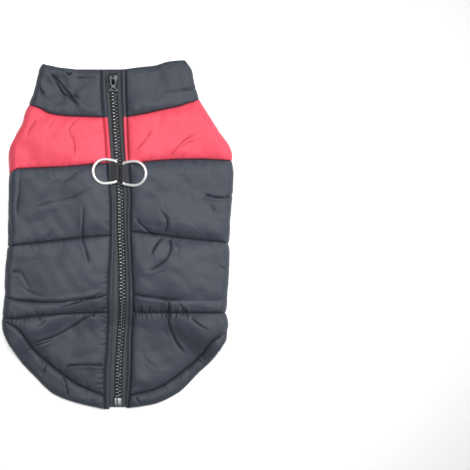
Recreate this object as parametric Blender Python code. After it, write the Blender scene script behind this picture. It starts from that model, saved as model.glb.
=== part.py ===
# Dog winter coat, laid flat with its zip side up: the neck towards +Y, the belly side on the surface at z = 0.
# Each padded panel is a wall that wraps round the side fold, from the zip on top to the seam or leg hole below.
# Lengths are millimetres in the tables and sizes, and metres in the finished meshes.
import math
from bisect import bisect_right
from collections import namedtuple

import bmesh
import bpy
from mathutils import Vector

MM = 0.001
LEFT = -1
RIGHT = 1
SIDES = {"left": LEFT, "right": RIGHT}

# Driving sizes of the cloth
SEAM_GAP = 0.3            # between two pieces that are sewn together
LAYER_GAP = 2.0           # between the upper and the lower layer
SEAM_WALL = 3.5           # thickness where a seam pulls the padding down
UNDER_GROOVE = 0.7        # depth of a groove on the belly side, as a share of one on top
HEM_REST = 40.0           # length over which the back panels come down onto the surface, past the belly hem
ZIP_OPENING = 16.0        # between the two folded edges beside the zip
FOLD_STRIP = 4.5          # from the folded edge to its row of stitching
FACING_ROOM = 1.3         # height kept for the facing behind the zip
SIDE_SEAM_X = 70.0        # from the middle to the seam between back and belly panel
COLLAR_SPLIT_X = 54.0     # from the middle to where the yoke's belly edge meets the collar

# Width of the coat, and thickness of its padded wall
Station = namedtuple("Station", "y left right")
OUTLINE = [
    Station(170.75, 76.9, 74.1),
    Station(158.75, 79.9, 76.1),
    Station(146.75, 82.9, 79.1),
    Station(134.75, 86.9, 83.1),
    Station(122.75, 91.9, 90.1),
    Station(110.75, 95.9, 98.1),
    Station(98.75, 101.9, 106.1),
    Station(86.75, 106.9, 113.1),
    Station(74.75, 108.4, 115.6),
    Station(56.75, 108.9, 116.4),
    Station(34.75, 108.9, 115.1),
    Station(2.75, 108.9, 113.1),
    Station(-21.25, 110.9, 112.6),
    Station(-45.25, 112.9, 111.4),
    Station(-63.25, 113.9, 110.4),
    Station(-78.25, 115.4, 110.1),
    Station(-90.25, 116.4, 111.6),
    Station(-98.0, 116.2, 111.7),
]
WALL = [(171.0, 6.0), (146.0, 6.2), (120.0, 8.0), (70.0, 9.0), (-70.0, 9.0), (-115.0, 8.4), (-175.0, 8.0)]
ZIP_LINE = [
    (162.75, -3.9), (142.75, -3.4), (119.75, -1.9), (96.75, -0.3), (69.75, 1.4), (34.75, 3.3), (4.75, 3.7),
    (-25.25, 4.9), (-55.25, 5.3), (-75.25, 4.9), (-103.25, 3.1), (-133.25, 1.4), (-159.25, 0.9), (-173.25, 0.9),
]

# Edges round the leg holes, measured from the middle: of the panel that wraps round, and of the belly panel
WRAP_EDGE = [(134.0, 54.0), (108.0, 60.0), (104.0, 80.0), (92.0, 84.0), (80.0, 84.0), (62.0, 79.0), (51.4, 70.0),
             (-60.0, SIDE_SEAM_X)]
BELLY_EDGE = [(134.0, 41.7), (108.0, 46.7), (104.0, 30.0), (100.0, 24.5), (88.0, 23.0), (75.0, 25.0), (66.0, 32.0),
              (60.0, 42.0), (55.0, 55.0), (52.0, 66.0), (50.0, 69.7), (-60.0, SIDE_SEAM_X - SEAM_GAP)]
LEG_HOLE_TOP = [(74.0, 104.4), (66.0, 106.0), (58.0, 107.2), (50.0, 107.2), (42.0, 105.8), (34.0, 104.0)]

# Seams run round the coat by column: 0 at the zip's stitching, 1 where the side fold starts on top, 2 where it
# ends below, 3 at the side seam or leg hole, 4 at the middle of the belly. The values are y.
SEAM_COLUMNS = (0.0, 0.25, 0.5, 0.75, 1.0, 1.5, 2.0, 3.0, 4.0)
SEAMS = {
    ("collar_top", LEFT): (164.8, 163.8, 165.8, 167.3, 169.8, 171.3, 168.0, 166.0, 166.0),
    ("collar_top", RIGHT): (165.8, 167.8, 169.3, 173.5, 174.6, 168.8, 170.0, 168.0, 166.0),
    ("collar_seam", LEFT): (117.3, 117.9, 118.5, 121.0, 127.7, 130.0, 130.0, 134.0, 138.0),
    ("collar_seam", RIGHT): (117.7, 121.0, 124.7, 128.2, 132.7, 135.7, 134.0, 134.0, 138.0),
    ("yoke_seam", LEFT): (71.7, 70.0, 68.0, 67.1, 66.1, 60.7, 60.0, 61.0, 61.0),
    ("yoke_seam", RIGHT): (71.0, 73.7, 75.2, 75.7, 74.7, 74.0, 68.0, 61.0, 61.0),
    ("quilt_1", LEFT): (-0.3, -2.3, -5.0, -7.6, -9.8, -12.0, -13.0, -14.0, -14.0),
    ("quilt_1", RIGHT): (3.3, 1.0, -2.3, -4.8, -6.6, -8.9, -11.0, -14.0, -14.0),
    ("sag_crease", LEFT): (-62.0, -64.0, -69.3, -67.0, -65.6, -63.3, -60.0, -42.0, -42.0),
    ("sag_crease", RIGHT): (-60.3, -62.0, -64.0, -66.0, -66.0, -64.0, -60.0, -42.0, -42.0),
    ("quilt_2", LEFT): (-77.8, -78.3, -79.3, -81.3, -83.8, -81.0, -75.0, -53.0, -53.0),
    ("quilt_2", RIGHT): (-77.8, -77.8, -77.8, -77.8, -77.8, -77.8, -77.0, -53.0, -53.0),
    ("hem_seam", LEFT): (-161.3, -151.3, -134.3, -113.3, -89.3, -84.5, -79.0, -57.0, -46.5),
    ("hem_seam", RIGHT): (-160.9, -155.3, -140.8, -121.3, -102.3, -94.0, -86.0, -57.0, -46.5),
    ("hem_edge", LEFT): (-174.6, -169.3, -160.8, -142.8, -113.3, -96.0, -90.0, -70.0, -58.0),
    ("hem_edge", RIGHT): (-173.3, -169.8, -159.3, -138.3, -115.8, -104.8, -97.0, -70.0, -58.0),
}
FREE_EDGES = ("collar_top", "hem_edge")

# Where the mesh has its columns, and how the rows are spread between two seams
TOP_COLUMNS = (-1.0, -0.5, 0.0, 0.1, 0.25, 0.4, 0.55, 0.7, 0.85, 1.0)
FOLD_COLUMNS = (1.2, 1.4, 1.6, 1.8, 2.0)
WRAP_COLUMNS = TOP_COLUMNS + FOLD_COLUMNS + (2.5, 3.0)
BELLY_COLUMNS = (3.35, 3.7)
Band = namedtuple("Band", "upper lower rows")
Panel = namedtuple("Panel", "bands grooves reach side_seam")
PANELS = {
    "collar": Panel(
        bands=[Band("collar_top", "collar_seam", (0.0, 0.04, 0.1, 0.2, 0.45, 0.7, 0.9, 1.0))],
        grooves={"collar_seam": 1.0},
        reach=14.0,
        side_seam=False,
    ),
    "yoke": Panel(
        bands=[Band("collar_seam", "yoke_seam", (0.0, 0.09, 0.22, 0.356, 0.411, 0.6, 0.78, 0.91, 1.0))],
        grooves={"collar_seam": 1.0, "yoke_seam": 1.0},
        reach=20.0,
        side_seam=True,
    ),
    "back": Panel(
        bands=[
            Band("yoke_seam", "quilt_1", (0.0, 0.06, 0.13, 0.28, 0.5, 0.72, 0.9, 1.0)),
            Band("quilt_1", "sag_crease", (0.0, 0.1, 0.28, 0.5, 0.72, 0.9, 1.0)),
            Band("sag_crease", "quilt_2", (0.0, 0.35, 0.75, 1.0)),
            Band("quilt_2", "hem_seam", (0.0, 0.08, 0.22, 0.42, 0.64, 0.86, 1.0)),
        ],
        grooves={"yoke_seam": 1.0, "quilt_1": 1.0, "sag_crease": 0.4, "quilt_2": 1.0, "hem_seam": 1.0},
        reach=22.0,
        side_seam=True,
    ),
    "hem": Panel(
        bands=[Band("hem_seam", "hem_edge", (0.0, 0.14, 0.36, 0.62, 0.84, 0.95, 1.0))],
        grooves={"hem_seam": 1.0},
        reach=8.0,
        side_seam=True,
    ),
}
ROLLED_EDGE = {"collar": "collar_top", "hem": "hem_edge"}
ROLL_REACH = 8.0
ROLL_OUTER = 0.4
ROLL_INNER = 0.3
BELLY_REACH = 12.0
BELLY_ROWS = (-60.0, -51.0, -38.0, -22.0, -14.0, -6.0, 10.0, 30.0, 44.0, 50.0, 52.0, 55.0, 60.0, 66.0, 75.0, 88.0,
              97.0, 100.0, 104.0, 108.0, 118.0, 129.0, 140.0)
BELLY_SPREAD = (-1.0, -0.93, -0.8, -0.6, -0.35, 0.0, 0.35, 0.6, 0.8, 0.93, 1.0)
HEM_GATHERS = 12          # soft pleats that the elastic makes in the belly hem
GATHER_DEPTH = 1.0
STRIP_ROWS = (108.0, 112.0, 120.0, 128.0, 140.0)

# Leg bindings
BINDING_RADIUS = 2.5
BINDING_GATHERS = 30
BINDING_RUFFLE = 0.35
BINDING_HEIGHT = 6.0
BINDING_STEPS = 90
CORNER_ROUNDING = 4       # rounds of averaging

# Zip, measured from the upper layer's inner face at the zip line
TAPE_LEVEL = (0.6, 1.4)
CHAIN_LEVEL = (0.4, 2.7)
CHAIN_HALF = 3.0
CHAIN_ENDS = (150.7, -162.7)
TAPE_ENDS = (162.0, -173.0)
FACING_HALF = 11.0
FACING_ENDS = (160.0, -157.0)
PLATE_LEVEL = 1.7
SLIDER_TOP = 3.6
SLIDER_WIDTHS = [(151.0, 3.4), (152.2, 4.2), (156.0, 4.8), (159.8, 4.4), (161.0, 3.2)]
BAIL_HALF = 1.2
BAIL_SPAN = (152.4, 160.0)
BAIL_RISE = 4.0
BAIL_STEM = 1.1
BAIL_FOOT = 0.8           # how far the bail reaches into the slider
PULL_AXIS_Y = 155.2
PULL_AXIS_LEVEL = 5.0
PULL_HALF_THICK = 0.7
PULL_EYE = 5.4            # from the axis to the end of the eye
PULL_BAR_HALF = 0.8
PULL_EYE_CLEARANCE = 0.5
PULL_WIDTHS = [(-PULL_BAR_HALF, 3.3), (5.0, 3.3), (6.6, 2.2), (8.6, 3.4), (11.2, 4.7), (12.0, 4.3)]
PULL_SLOT = [(10.9, 2.6), (10.9, -2.6), (9.9, -2.6), (9.3, 0.0), (9.9, 2.6)]
BOX_TOP = 4.4
BLOCK_CORE_HALF = 2.8
BLOCK_CHAMFER = 0.7
BOX_WIDTHS = [(-163.0, 4.1), (-163.8, 4.5), (-171.2, 4.5), (-172.0, 4.1)]

# D-rings and the webbing loops that hold them
WIRE_RADIUS = 1.5
RING_HALF = 12.0          # from the middle to the wire's centre, along y
RING_ARM = 11.3           # from the bar to where the bow starts
RING_CORNER = 2.5
WEBBING_THICK = 1.2
WEBBING_HALF = 9.0
LOOP_END = 9.4            # from the zip line to the sewn end
BAR_CLEARANCE = 0.3
Ring = namedtuple("Ring", "bar_x middle_y tilt")
RINGS = {"left": Ring(-0.5, 63.2, 12.0), "right": Ring(6.5, 61.2, 12.0)}
BAR_LEVEL = 6.0           # above the upper layer's inner face
LOOP_TIP = 4.2            # from the bar to where the webbing's two layers meet
LOOP_TIP_HALF = 0.2

# Colour, roughness and metallic value
FINISHES = {
    "dark_nylon": ((0.1, 0.11, 0.14), 0.5, 0.0),
    "red_nylon": ((0.98, 0.14, 0.2), 0.5, 0.0),
    "binding": ((0.03, 0.035, 0.045), 0.8, 0.0),
    "tape": ((0.09, 0.09, 0.11), 0.85, 0.0),
    "chain": ((0.14, 0.14, 0.16), 0.4, 0.0),
    "zip_metal": ((0.3, 0.3, 0.32), 0.3, 0.9),
    "webbing": ((0.04, 0.045, 0.05), 0.8, 0.0),
    "ring_metal": ((0.85, 0.85, 0.87), 0.15, 1.0),
}


class Curve:
    # A smooth curve through (position, value) pairs that never overshoots them and is level past its ends.
    def __init__(self, pairs):
        self.at, self.value = zip(*sorted(pairs))
        steps = [b - a for a, b in zip(self.at, self.at[1:])]
        rises = [(b - a) / step for a, b, step in zip(self.value, self.value[1:], steps)]
        inner = [2 * a * b / (a + b) if a * b > 0 else 0.0 for a, b in zip(rises, rises[1:])]
        self.slope = [rises[0], *inner, rises[-1]]

    def __call__(self, position):
        position = min(max(position, self.at[0]), self.at[-1])
        i = min(bisect_right(self.at, position), len(self.at) - 1) - 1
        step = self.at[i + 1] - self.at[i]
        t = (position - self.at[i]) / step
        start = self.value[i] * (1 + 2 * t) + self.slope[i] * step * t
        end = self.value[i + 1] * (3 - 2 * t) + self.slope[i + 1] * step * (t - 1)
        return start * (1 - t) ** 2 + end * t * t


outline = {
    LEFT: Curve([(station.y, station.left) for station in OUTLINE]),
    RIGHT: Curve([(station.y, station.right) for station in OUTLINE]),
}
wall_at = Curve(WALL)
zip_x = Curve(ZIP_LINE)
wrap_edge = Curve(WRAP_EDGE)
belly_edge = Curve(BELLY_EDGE)

# Each seam is level where it crosses the middle of the belly, as if it went on up the other side.
PAST_MIDDLE = 5.0
seam_curves = {
    key: Curve([*zip(SEAM_COLUMNS, values), (PAST_MIDDLE, values[SEAM_COLUMNS.index(3.0)])])
    for key, values in SEAMS.items()
}
rest_start = Curve([(0.35, -60.0), (1.0, -108.0)])
strip_wall = Curve([(-1.0, 2.2), (-0.5, 4.2), (0.0, SEAM_WALL)])
groove_share = Curve([(0.8, 1.0), (1.1, 0.45), (1.5, 0.25), (1.9, 0.45), (2.4, UNDER_GROOVE)])
reach_share = Curve([(1.0, 1.0), (2.0, 0.5)])


def mix(a, b, t):
    return a + (b - a) * t


def smooth(t):
    t = min(max(t, 0.0), 1.0)
    return t * t * (3 - 2 * t)


def puff(distance, reach):
    # 0 in a seam, rising like a quarter circle to 1 at its reach.
    short = 1 - min(abs(distance) / reach, 1.0)
    return math.sqrt(1 - short * short)


def seam_y(seam, side, column):
    return seam_curves[seam, side](column)


def lift_at(column, y):
    # Height of the upper layer's inner face: it comes down to the surface past the belly hem.
    held = 1 - smooth((rest_start(column) - y) / HEM_REST)
    room = FACING_ROOM * (1 - smooth(column / 0.2))
    return max((wall_at(y) + LAYER_GAP) * held, room)


def fold_radius(column, y):
    return (lift_at(column, y) + wall_at(y)) / 2


def cloth_point(side, column, y, depth):
    # A point of the wrapped cloth, at a depth below its outer face.
    radius = fold_radius(column, y)
    fold = outline[side](y) - radius
    stitching = side * zip_x(y) + ZIP_OPENING / 2 + FOLD_STRIP
    turn = math.pi * min(max(column - 1, 0.0), 1.0)
    if column <= 0:
        reach = stitching + FOLD_STRIP * column
    elif column <= 1:
        reach = mix(stitching, fold, column)
    elif column <= 2:
        reach = fold + (radius - depth) * math.sin(turn)
    elif column <= 3:
        reach = mix(fold, wrap_edge(y), column - 2)
    else:
        reach = wrap_edge(y) * (4 - column)
    return Vector((side * reach, y, radius + (radius - depth) * math.cos(turn)))


def column_distance(side, column, y, panel):
    # How far a point is from the zip's stitching or from the side seam, along its row.
    fold = outline[side](y) - fold_radius(column, y)
    if column <= 1:
        return column * (fold - side * zip_x(y) - ZIP_OPENING / 2 - FOLD_STRIP)
    if column >= 2 and panel.side_seam:
        return (3 - column) * (fold - wrap_edge(y))
    return panel.reach


def wall_depths(name, side, column, y):
    # Depths of the outer and the inner face: grooves at the seams, a plain inside, and a rolled free edge.
    panel = PANELS[name]
    wall = wall_at(y)
    if column <= 0:
        outer = wall - strip_wall(column)
    else:
        reach = panel.reach * reach_share(column)
        fullness = puff(column_distance(side, column, y, panel), reach)
        for seam, strength in panel.grooves.items():
            fullness *= 1 - strength * (1 - puff(y - seam_y(seam, side, column), reach))
        outer = (wall - SEAM_WALL) * groove_share(column) * (1 - fullness)
    inner = wall
    if name in ROLLED_EDGE:
        roll = 1 - puff(y - seam_y(ROLLED_EDGE[name], side, column), ROLL_REACH)
        thick = inner - outer
        outer += ROLL_OUTER * thick * roll
        inner -= ROLL_INNER * thick * roll
    return outer, inner


def seam_trim(seam, side, column):
    # Half of a seam's gap, measured along y where the seam runs aslant.
    if seam in FREE_EDGES:
        return 0.0
    near = [cloth_point(side, at, seam_y(seam, side, at), 0.0) for at in (column - 0.02, column + 0.02)]
    along = near[1] - near[0]
    return SEAM_GAP / 2 * along.length / math.hypot(along.x, along.z)


def row_places(name, side, column):
    # The y of each row of a panel at one column, from the neck to the tail.
    bands = PANELS[name].bands
    places = []
    for band in bands:
        upper = seam_y(band.upper, side, column)
        lower = seam_y(band.lower, side, column)
        if band is bands[0]:
            upper -= seam_trim(band.upper, side, column)
        if band is bands[-1]:
            lower += seam_trim(band.lower, side, column)
        rows = band.rows if band is bands[0] else band.rows[1:]
        places += [mix(upper, lower, t) for t in rows]
    return places


def wrapped_column(name, side, column):
    pairs = []
    for y in row_places(name, side, column):
        outer, inner = wall_depths(name, side, column, y)
        pairs.append((cloth_point(side, column, y, outer), cloth_point(side, column, y, inner)))
    return pairs


def finish_material(finish):
    material = bpy.data.materials.get(finish)
    if material is None:
        colour, roughness, metallic = FINISHES[finish]
        material = bpy.data.materials.new(finish)
        material.use_nodes = True
        shader = material.node_tree.nodes["Principled BSDF"]
        shader.inputs["Base Color"].default_value = (*colour, 1.0)
        shader.inputs["Roughness"].default_value = roughness
        shader.inputs["Metallic"].default_value = metallic
    return material


def add_object(name, finish, shape, sharp_angle=40.0):
    bmesh.ops.recalc_face_normals(shape, faces=shape.faces)
    mesh = bpy.data.meshes.new(name)
    shape.to_mesh(mesh)
    shape.free()
    mesh.shade_smooth()
    mesh.set_sharp_from_angle(angle=math.radians(sharp_angle))
    mesh.materials.append(finish_material(finish))
    item = bpy.data.objects.new(name, mesh)
    bpy.context.collection.objects.link(item)
    return item


def grid_border(rows, columns):
    # The places round the edge of a grid, in order.
    top = [(0, j) for j in range(columns)]
    right = [(i, columns - 1) for i in range(1, rows)]
    bottom = [(rows - 1, j) for j in range(columns - 2, -1, -1)]
    left = [(i, 0) for i in range(rows - 2, 0, -1)]
    return top + right + bottom + left


def wall_object(name, finish, grid):
    # One closed wall from a grid of (outer, inner) points: its two faces and the rim between them.
    shape = bmesh.new()
    outer, inner = ([[shape.verts.new(pair[face] * MM) for pair in line] for line in grid] for face in (0, 1))
    for layer in (outer, inner):
        for i in range(len(grid) - 1):
            for j in range(len(grid[0]) - 1):
                shape.faces.new((layer[i][j], layer[i][j + 1], layer[i + 1][j + 1], layer[i + 1][j]))
    border = grid_border(len(grid), len(grid[0]))
    for places in zip(border, border[1:] + border[:1]):
        # Each rim face is cut from its higher end down, so that two rims that meet at a seam are alike.
        (i, j), (k, m) = sorted(places, key=lambda place: -outer[place[0]][place[1]].co.z)
        shape.faces.new((outer[i][j], outer[k][m], inner[k][m]))
        shape.faces.new((outer[i][j], inner[k][m], inner[i][j]))
    return add_object(name, finish, shape)


def loft_object(name, finish, sections):
    # One closed solid through sections that all have the same number of points.
    shape = bmesh.new()
    rings = [[shape.verts.new(Vector(point) * MM) for point in section] for section in sections]
    for ring, following in zip(rings, rings[1:]):
        for i in range(len(ring)):
            k = (i + 1) % len(ring)
            shape.faces.new((ring[i], ring[k], following[k], following[i]))
    shape.faces.new(rings[0])
    shape.faces.new(rings[-1])
    return add_object(name, finish, shape, 30.0)


def tube_object(name, finish, path, plane_normal, radii, sides):
    # A closed tube round a flat closed path.
    shape = bmesh.new()
    count = len(path)
    rings = []
    for i, centre in enumerate(path):
        along = (path[(i + 1) % count] - path[i - 1]).normalized()
        across = along.cross(plane_normal)
        angles = [math.tau * k / sides for k in range(sides)]
        rings.append([
            shape.verts.new((centre + radii[i] * (across * math.cos(a) + plane_normal * math.sin(a))) * MM)
            for a in angles
        ])
    for i in range(count):
        ring, following = rings[i], rings[(i + 1) % count]
        for k in range(sides):
            m = (k + 1) % sides
            shape.faces.new((ring[k], ring[m], following[m], following[k]))
    return add_object(name, finish, shape, 60.0)


def combine(target, tool, operation):
    # The tool becomes part of the target, or is cut out of it, and isn't a piece of its own.
    modifier = target.modifiers.new(tool.name, "BOOLEAN")
    modifier.operation = operation
    modifier.solver = "EXACT"
    modifier.object = tool
    tool.hide_render = True
    tool.display_type = "WIRE"


def make_wrapped_panel(name, side_name, finish):
    side = SIDES[side_name]
    wall_object(f"{name}_{side_name}", finish, [wrapped_column(name, side, c) for c in WRAP_COLUMNS])


def make_collar():
    under = WRAP_COLUMNS + BELLY_COLUMNS
    left = [wrapped_column("collar", LEFT, c) for c in under]
    middle = [wrapped_column("collar", LEFT, 4.0)]
    right = [wrapped_column("collar", RIGHT, c) for c in reversed(under)]
    wall_object("collar", "dark_nylon", left + middle + right)


def belly_column(x, half_width):
    # The seam column of a place on the belly side, between the wrapping panel's edge and the middle.
    return 4 - min(abs(x) / half_width, 1.0)


def under_depths(y, fullness):
    # Depths of the outer and the inner face of a belly-side piece.
    wall = wall_at(y)
    return (wall - SEAM_WALL) * UNDER_GROOVE * (1 - fullness), wall


def side_of(x):
    return LEFT if x < 0 else RIGHT


def belly_limits(x):
    # The belly panel's lower and upper seam at a place across it.
    side = side_of(x)
    lower = seam_y("hem_seam", side, belly_column(x, SIDE_SEAM_X))
    upper = seam_y("collar_seam", side, belly_column(x, COLLAR_SPLIT_X))
    return lower + SEAM_GAP / 2, upper - SEAM_GAP / 2


def make_belly_panel():
    quilt = SEAMS["quilt_1", LEFT][-1]
    grid = []
    for edge_y in BELLY_ROWS:
        line = []
        for spread in BELLY_SPREAD:
            half = belly_edge(edge_y)
            x = spread * half
            edge_lower, edge_upper = belly_limits(math.copysign(half, x))
            t = min(max((edge_y - edge_lower) / (edge_upper - edge_lower), 0.0), 1.0)
            lower, upper = belly_limits(x)
            y = mix(lower, upper, t)
            fullness = puff(half - abs(x), BELLY_REACH)
            for seam in (lower, upper, quilt):
                fullness *= puff(y - seam, BELLY_REACH)
            outer, inner = under_depths(y, fullness)
            line.append((Vector((x, y, outer)), Vector((x, y, inner))))
        grid.append(line)
    wall_object("belly_panel", "dark_nylon", grid)


def belly_hem_y(x):
    # The belly panel's lower seam, straight between the panel's columns.
    places = [spread * (SIDE_SEAM_X - SEAM_GAP) for spread in BELLY_SPREAD]
    i = min(max(bisect_right(places, x) - 1, 0), len(places) - 2)
    t = (x - places[i]) / (places[i + 1] - places[i])
    return mix(belly_limits(places[i])[0], belly_limits(places[i + 1])[0], t)


def make_belly_hem():
    # The elastic casing between the side seams, with soft pleats across it.
    columns = HEM_GATHERS * 4
    half = SIDE_SEAM_X - SEAM_GAP
    grid = []
    for i in range(columns + 1):
        x = mix(-half, half, i / columns)
        side = side_of(x)
        column = belly_column(x, SIDE_SEAM_X)
        pleat = GATHER_DEPTH * (0.5 - 0.5 * math.cos(math.pi * i / 2)) * puff(half - abs(x), BELLY_REACH)
        line = []
        upper = belly_hem_y(x) - SEAM_GAP
        lower = seam_y("hem_edge", side, column)
        for t in PANELS["hem"].bands[0].rows:
            y = mix(upper, lower, t)
            outer, inner = wall_depths("hem", side, column, y)
            line.append((Vector((x, y, outer + pleat * puff(y - lower, ROLL_REACH))), Vector((x, y, inner))))
        grid.append(line)
    wall_object("hem_belly", "dark_nylon", grid)


def make_shoulder_strip(side_name):
    # The band from the collar to the top of the leg hole.
    side = SIDES[side_name]
    grid = []
    for edge_y in STRIP_ROWS:
        inner_x = belly_edge(edge_y) + SEAM_GAP
        outer_x = wrap_edge(edge_y) - SEAM_GAP
        line = []
        for t in (0.0, 0.2, 0.5, 0.8, 1.0):
            x = mix(inner_x, outer_x, t)
            top = seam_y("collar_seam", side, belly_column(x, COLLAR_SPLIT_X)) - SEAM_GAP / 2
            y = min(edge_y, top)
            fullness = puff(min(x - inner_x, outer_x - x), (outer_x - inner_x) / 2)
            outer, inner = under_depths(y, fullness)
            line.append((Vector((side * x, y, outer)), Vector((side * x, y, inner))))
        grid.append(line)
    wall_object(f"shoulder_strip_{side_name}", "dark_nylon", grid)


def leg_hole_rim():
    # Points round one leg hole, for the right side: up its outer edge and down its inner edge.
    outer = [(wrap_edge(y), y) for y in (54.0, 57.0, 62.0, 68.0, 77.0, 90.5, 103.5)]
    inner = [(belly_edge(y), y) for y in (101.0, 96.0, 88.0, 80.0, 74.0, 68.0, 63.0, 59.0, 56.5)]
    bottom = [(62.0, 54.0), (68.0, 53.0)]
    return [Vector((x, y, BINDING_HEIGHT)) for x, y in outer + LEG_HOLE_TOP + inner + bottom]


def even_loop(points, count):
    # The same closed loop with evenly spaced points, its corners rounded by averaging.
    lengths = [(points[(i + 1) % len(points)] - point).length for i, point in enumerate(points)]
    total = sum(lengths)
    even = []
    i, passed = 0, 0.0
    for k in range(count):
        distance = total * k / count
        while passed + lengths[i] < distance:
            passed += lengths[i]
            i += 1
        even.append(points[i].lerp(points[(i + 1) % len(points)], (distance - passed) / lengths[i]))
    for _ in range(CORNER_ROUNDING):
        even = [(even[i - 1] + 2 * even[i] + even[(i + 1) % count]) / 4 for i in range(count)]
    return even


def make_leg_binding(side_name):
    # Gathered elastic round the leg hole, just inside its rim.
    up = Vector((0.0, 0.0, 1.0))
    rim = even_loop(leg_hole_rim(), BINDING_STEPS)
    inset = BINDING_RADIUS + BINDING_RUFFLE + SEAM_GAP
    path = []
    for i, point in enumerate(rim):
        along = (rim[(i + 1) % BINDING_STEPS] - rim[i - 1]).normalized()
        path.append(point + inset * up.cross(along))
    for point in path:
        point.x *= SIDES[side_name]
    waves = [math.cos(math.tau * BINDING_GATHERS * i / BINDING_STEPS) for i in range(BINDING_STEPS)]
    radii = [BINDING_RADIUS + BINDING_RUFFLE * wave for wave in waves]
    tube_object(f"leg_binding_{side_name}", "binding", path, up, radii, 6)


def zip_rows(upper_end, lower_end):
    # Pairs of y, left and right of the zip, where the panels beside it have their rows.
    pairs = []
    for name in PANELS:
        pairs += zip(row_places(name, LEFT, -1.0), row_places(name, RIGHT, -1.0))
    inside = [pair for pair in pairs if max(pair) < upper_end - 1 and min(pair) > lower_end + 1]
    return [(upper_end, upper_end)] + inside + [(lower_end, lower_end)]


def make_ribbon(name, finish, offsets, level, ends):
    # A band along the zip line. Offsets are across it, and the level is its lower and upper height.
    edge = ZIP_OPENING / 2
    grid = []
    for left_y, right_y in zip_rows(*ends):
        line = []
        for offset in offsets:
            y = mix(left_y, right_y, min(max((offset + edge) / (2 * edge), 0.0), 1.0))
            base = lift_at(0.0, y)
            x = zip_x(y) + offset
            line.append((Vector((x, y, base + level[1])), Vector((x, y, base + level[0]))))
        grid.append(line)
    return wall_object(name, finish, grid)


def make_zip():
    tape_edge = ZIP_OPENING / 2 - SEAM_GAP
    chain_edge = CHAIN_HALF + SEAM_GAP
    make_ribbon("zip_tape_left", "tape", (-tape_edge, -chain_edge), TAPE_LEVEL, TAPE_ENDS)
    make_ribbon("zip_tape_right", "tape", (chain_edge, tape_edge), TAPE_LEVEL, TAPE_ENDS)
    make_ribbon("zip_chain", "chain", (-CHAIN_HALF, 0.0, CHAIN_HALF), CHAIN_LEVEL, CHAIN_ENDS)
    facing_level = (-FACING_ROOM, -SEAM_GAP)
    columns = (-FACING_HALF, -ZIP_OPENING / 2, 0.0, ZIP_OPENING / 2, FACING_HALF)
    make_ribbon("zip_facing", "dark_nylon", columns, facing_level, FACING_ENDS)


def block_section(centre_x, y, half, base, top):
    # Section across a zip block: a plate over the tapes, on a core between them.
    low, plate, high = base + CHAIN_LEVEL[0], base + PLATE_LEVEL, base + top
    right = [(BLOCK_CORE_HALF, low), (BLOCK_CORE_HALF, plate), (half, plate), (half, high - BLOCK_CHAMFER),
             (half - BLOCK_CHAMFER, high)]
    across = right + [(-x, z) for x, z in reversed(right)]
    return [(centre_x + x, y, z) for x, z in across]


def make_zip_block(name, widths, top):
    middle = (widths[0][0] + widths[-1][0]) / 2
    base = lift_at(0.0, middle)
    centre_x = zip_x(middle)
    return loft_object(name, "zip_metal", [block_section(centre_x, y, half, base, top) for y, half in widths])


def bail_outline(inset):
    # One side of the bail's arch, from its lower to its upper foot, as (y, height above the slider's top).
    start, end = BAIL_SPAN[0] + inset, BAIL_SPAN[1] - inset
    middle, half = (start + end) / 2, (end - start) / 2
    angles = [math.pi * k / 10 for k in range(11)]
    arch = [(middle - half * math.cos(a), (BAIL_RISE - inset) * math.sin(a) ** 0.6) for a in angles]
    return [(start, -BAIL_FOOT)] + arch[1:-1] + [(end, -BAIL_FOOT)]


def make_slider():
    slider = make_zip_block("zip_slider", SLIDER_WIDTHS, SLIDER_TOP)
    base = lift_at(0.0, sum(BAIL_SPAN) / 2)
    centre_x = zip_x(PULL_AXIS_Y)
    level = base + SLIDER_TOP
    profile = bail_outline(0.0) + bail_outline(BAIL_STEM)[::-1]
    sections = [[(centre_x + x, y, level + z) for y, z in profile] for x in (-BAIL_HALF, BAIL_HALF)]
    combine(slider, loft_object("bail", "zip_metal", sections), "UNION")


def make_pull():
    # A flat tab with an eye round the bail and an arched slot near its end, made about its hinge axis.
    centre_x = zip_x(PULL_AXIS_Y)
    level = lift_at(0.0, PULL_AXIS_Y) + PULL_AXIS_LEVEL

    def plate(name, outline_points, half_thick):
        sections = [
            [(centre_x + x, PULL_AXIS_Y - distance, level + z) for distance, x in outline_points]
            for z in (-half_thick, half_thick)
        ]
        return loft_object(name, "zip_metal", sections)

    tab = PULL_WIDTHS + [(distance, -x) for distance, x in reversed(PULL_WIDTHS)]
    pull = plate("zip_pull", tab, PULL_HALF_THICK)
    eye_half = BAIL_HALF + PULL_EYE_CLEARANCE
    eye = [(PULL_BAR_HALF, eye_half), (PULL_EYE, eye_half), (PULL_EYE, -eye_half), (PULL_BAR_HALF, -eye_half)]
    combine(pull, plate("eye_cutter", eye, 2 * PULL_HALF_THICK), "DIFFERENCE")
    combine(pull, plate("slot_cutter", PULL_SLOT, 2 * PULL_HALF_THICK), "DIFFERENCE")


def ring_place(side_name, outward, along, upward):
    # A point of a D-ring from its bar's middle, with the ring tilted up to lie on the padding.
    ring = RINGS[side_name]
    side = SIDES[side_name]
    tilt = math.radians(ring.tilt)
    level = lift_at(0.0, ring.middle_y) + BAR_LEVEL
    out = outward * math.cos(tilt) - upward * math.sin(tilt)
    up = outward * math.sin(tilt) + upward * math.cos(tilt)
    return Vector((ring.bar_x + side * out, ring.middle_y + along, level + up))


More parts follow.
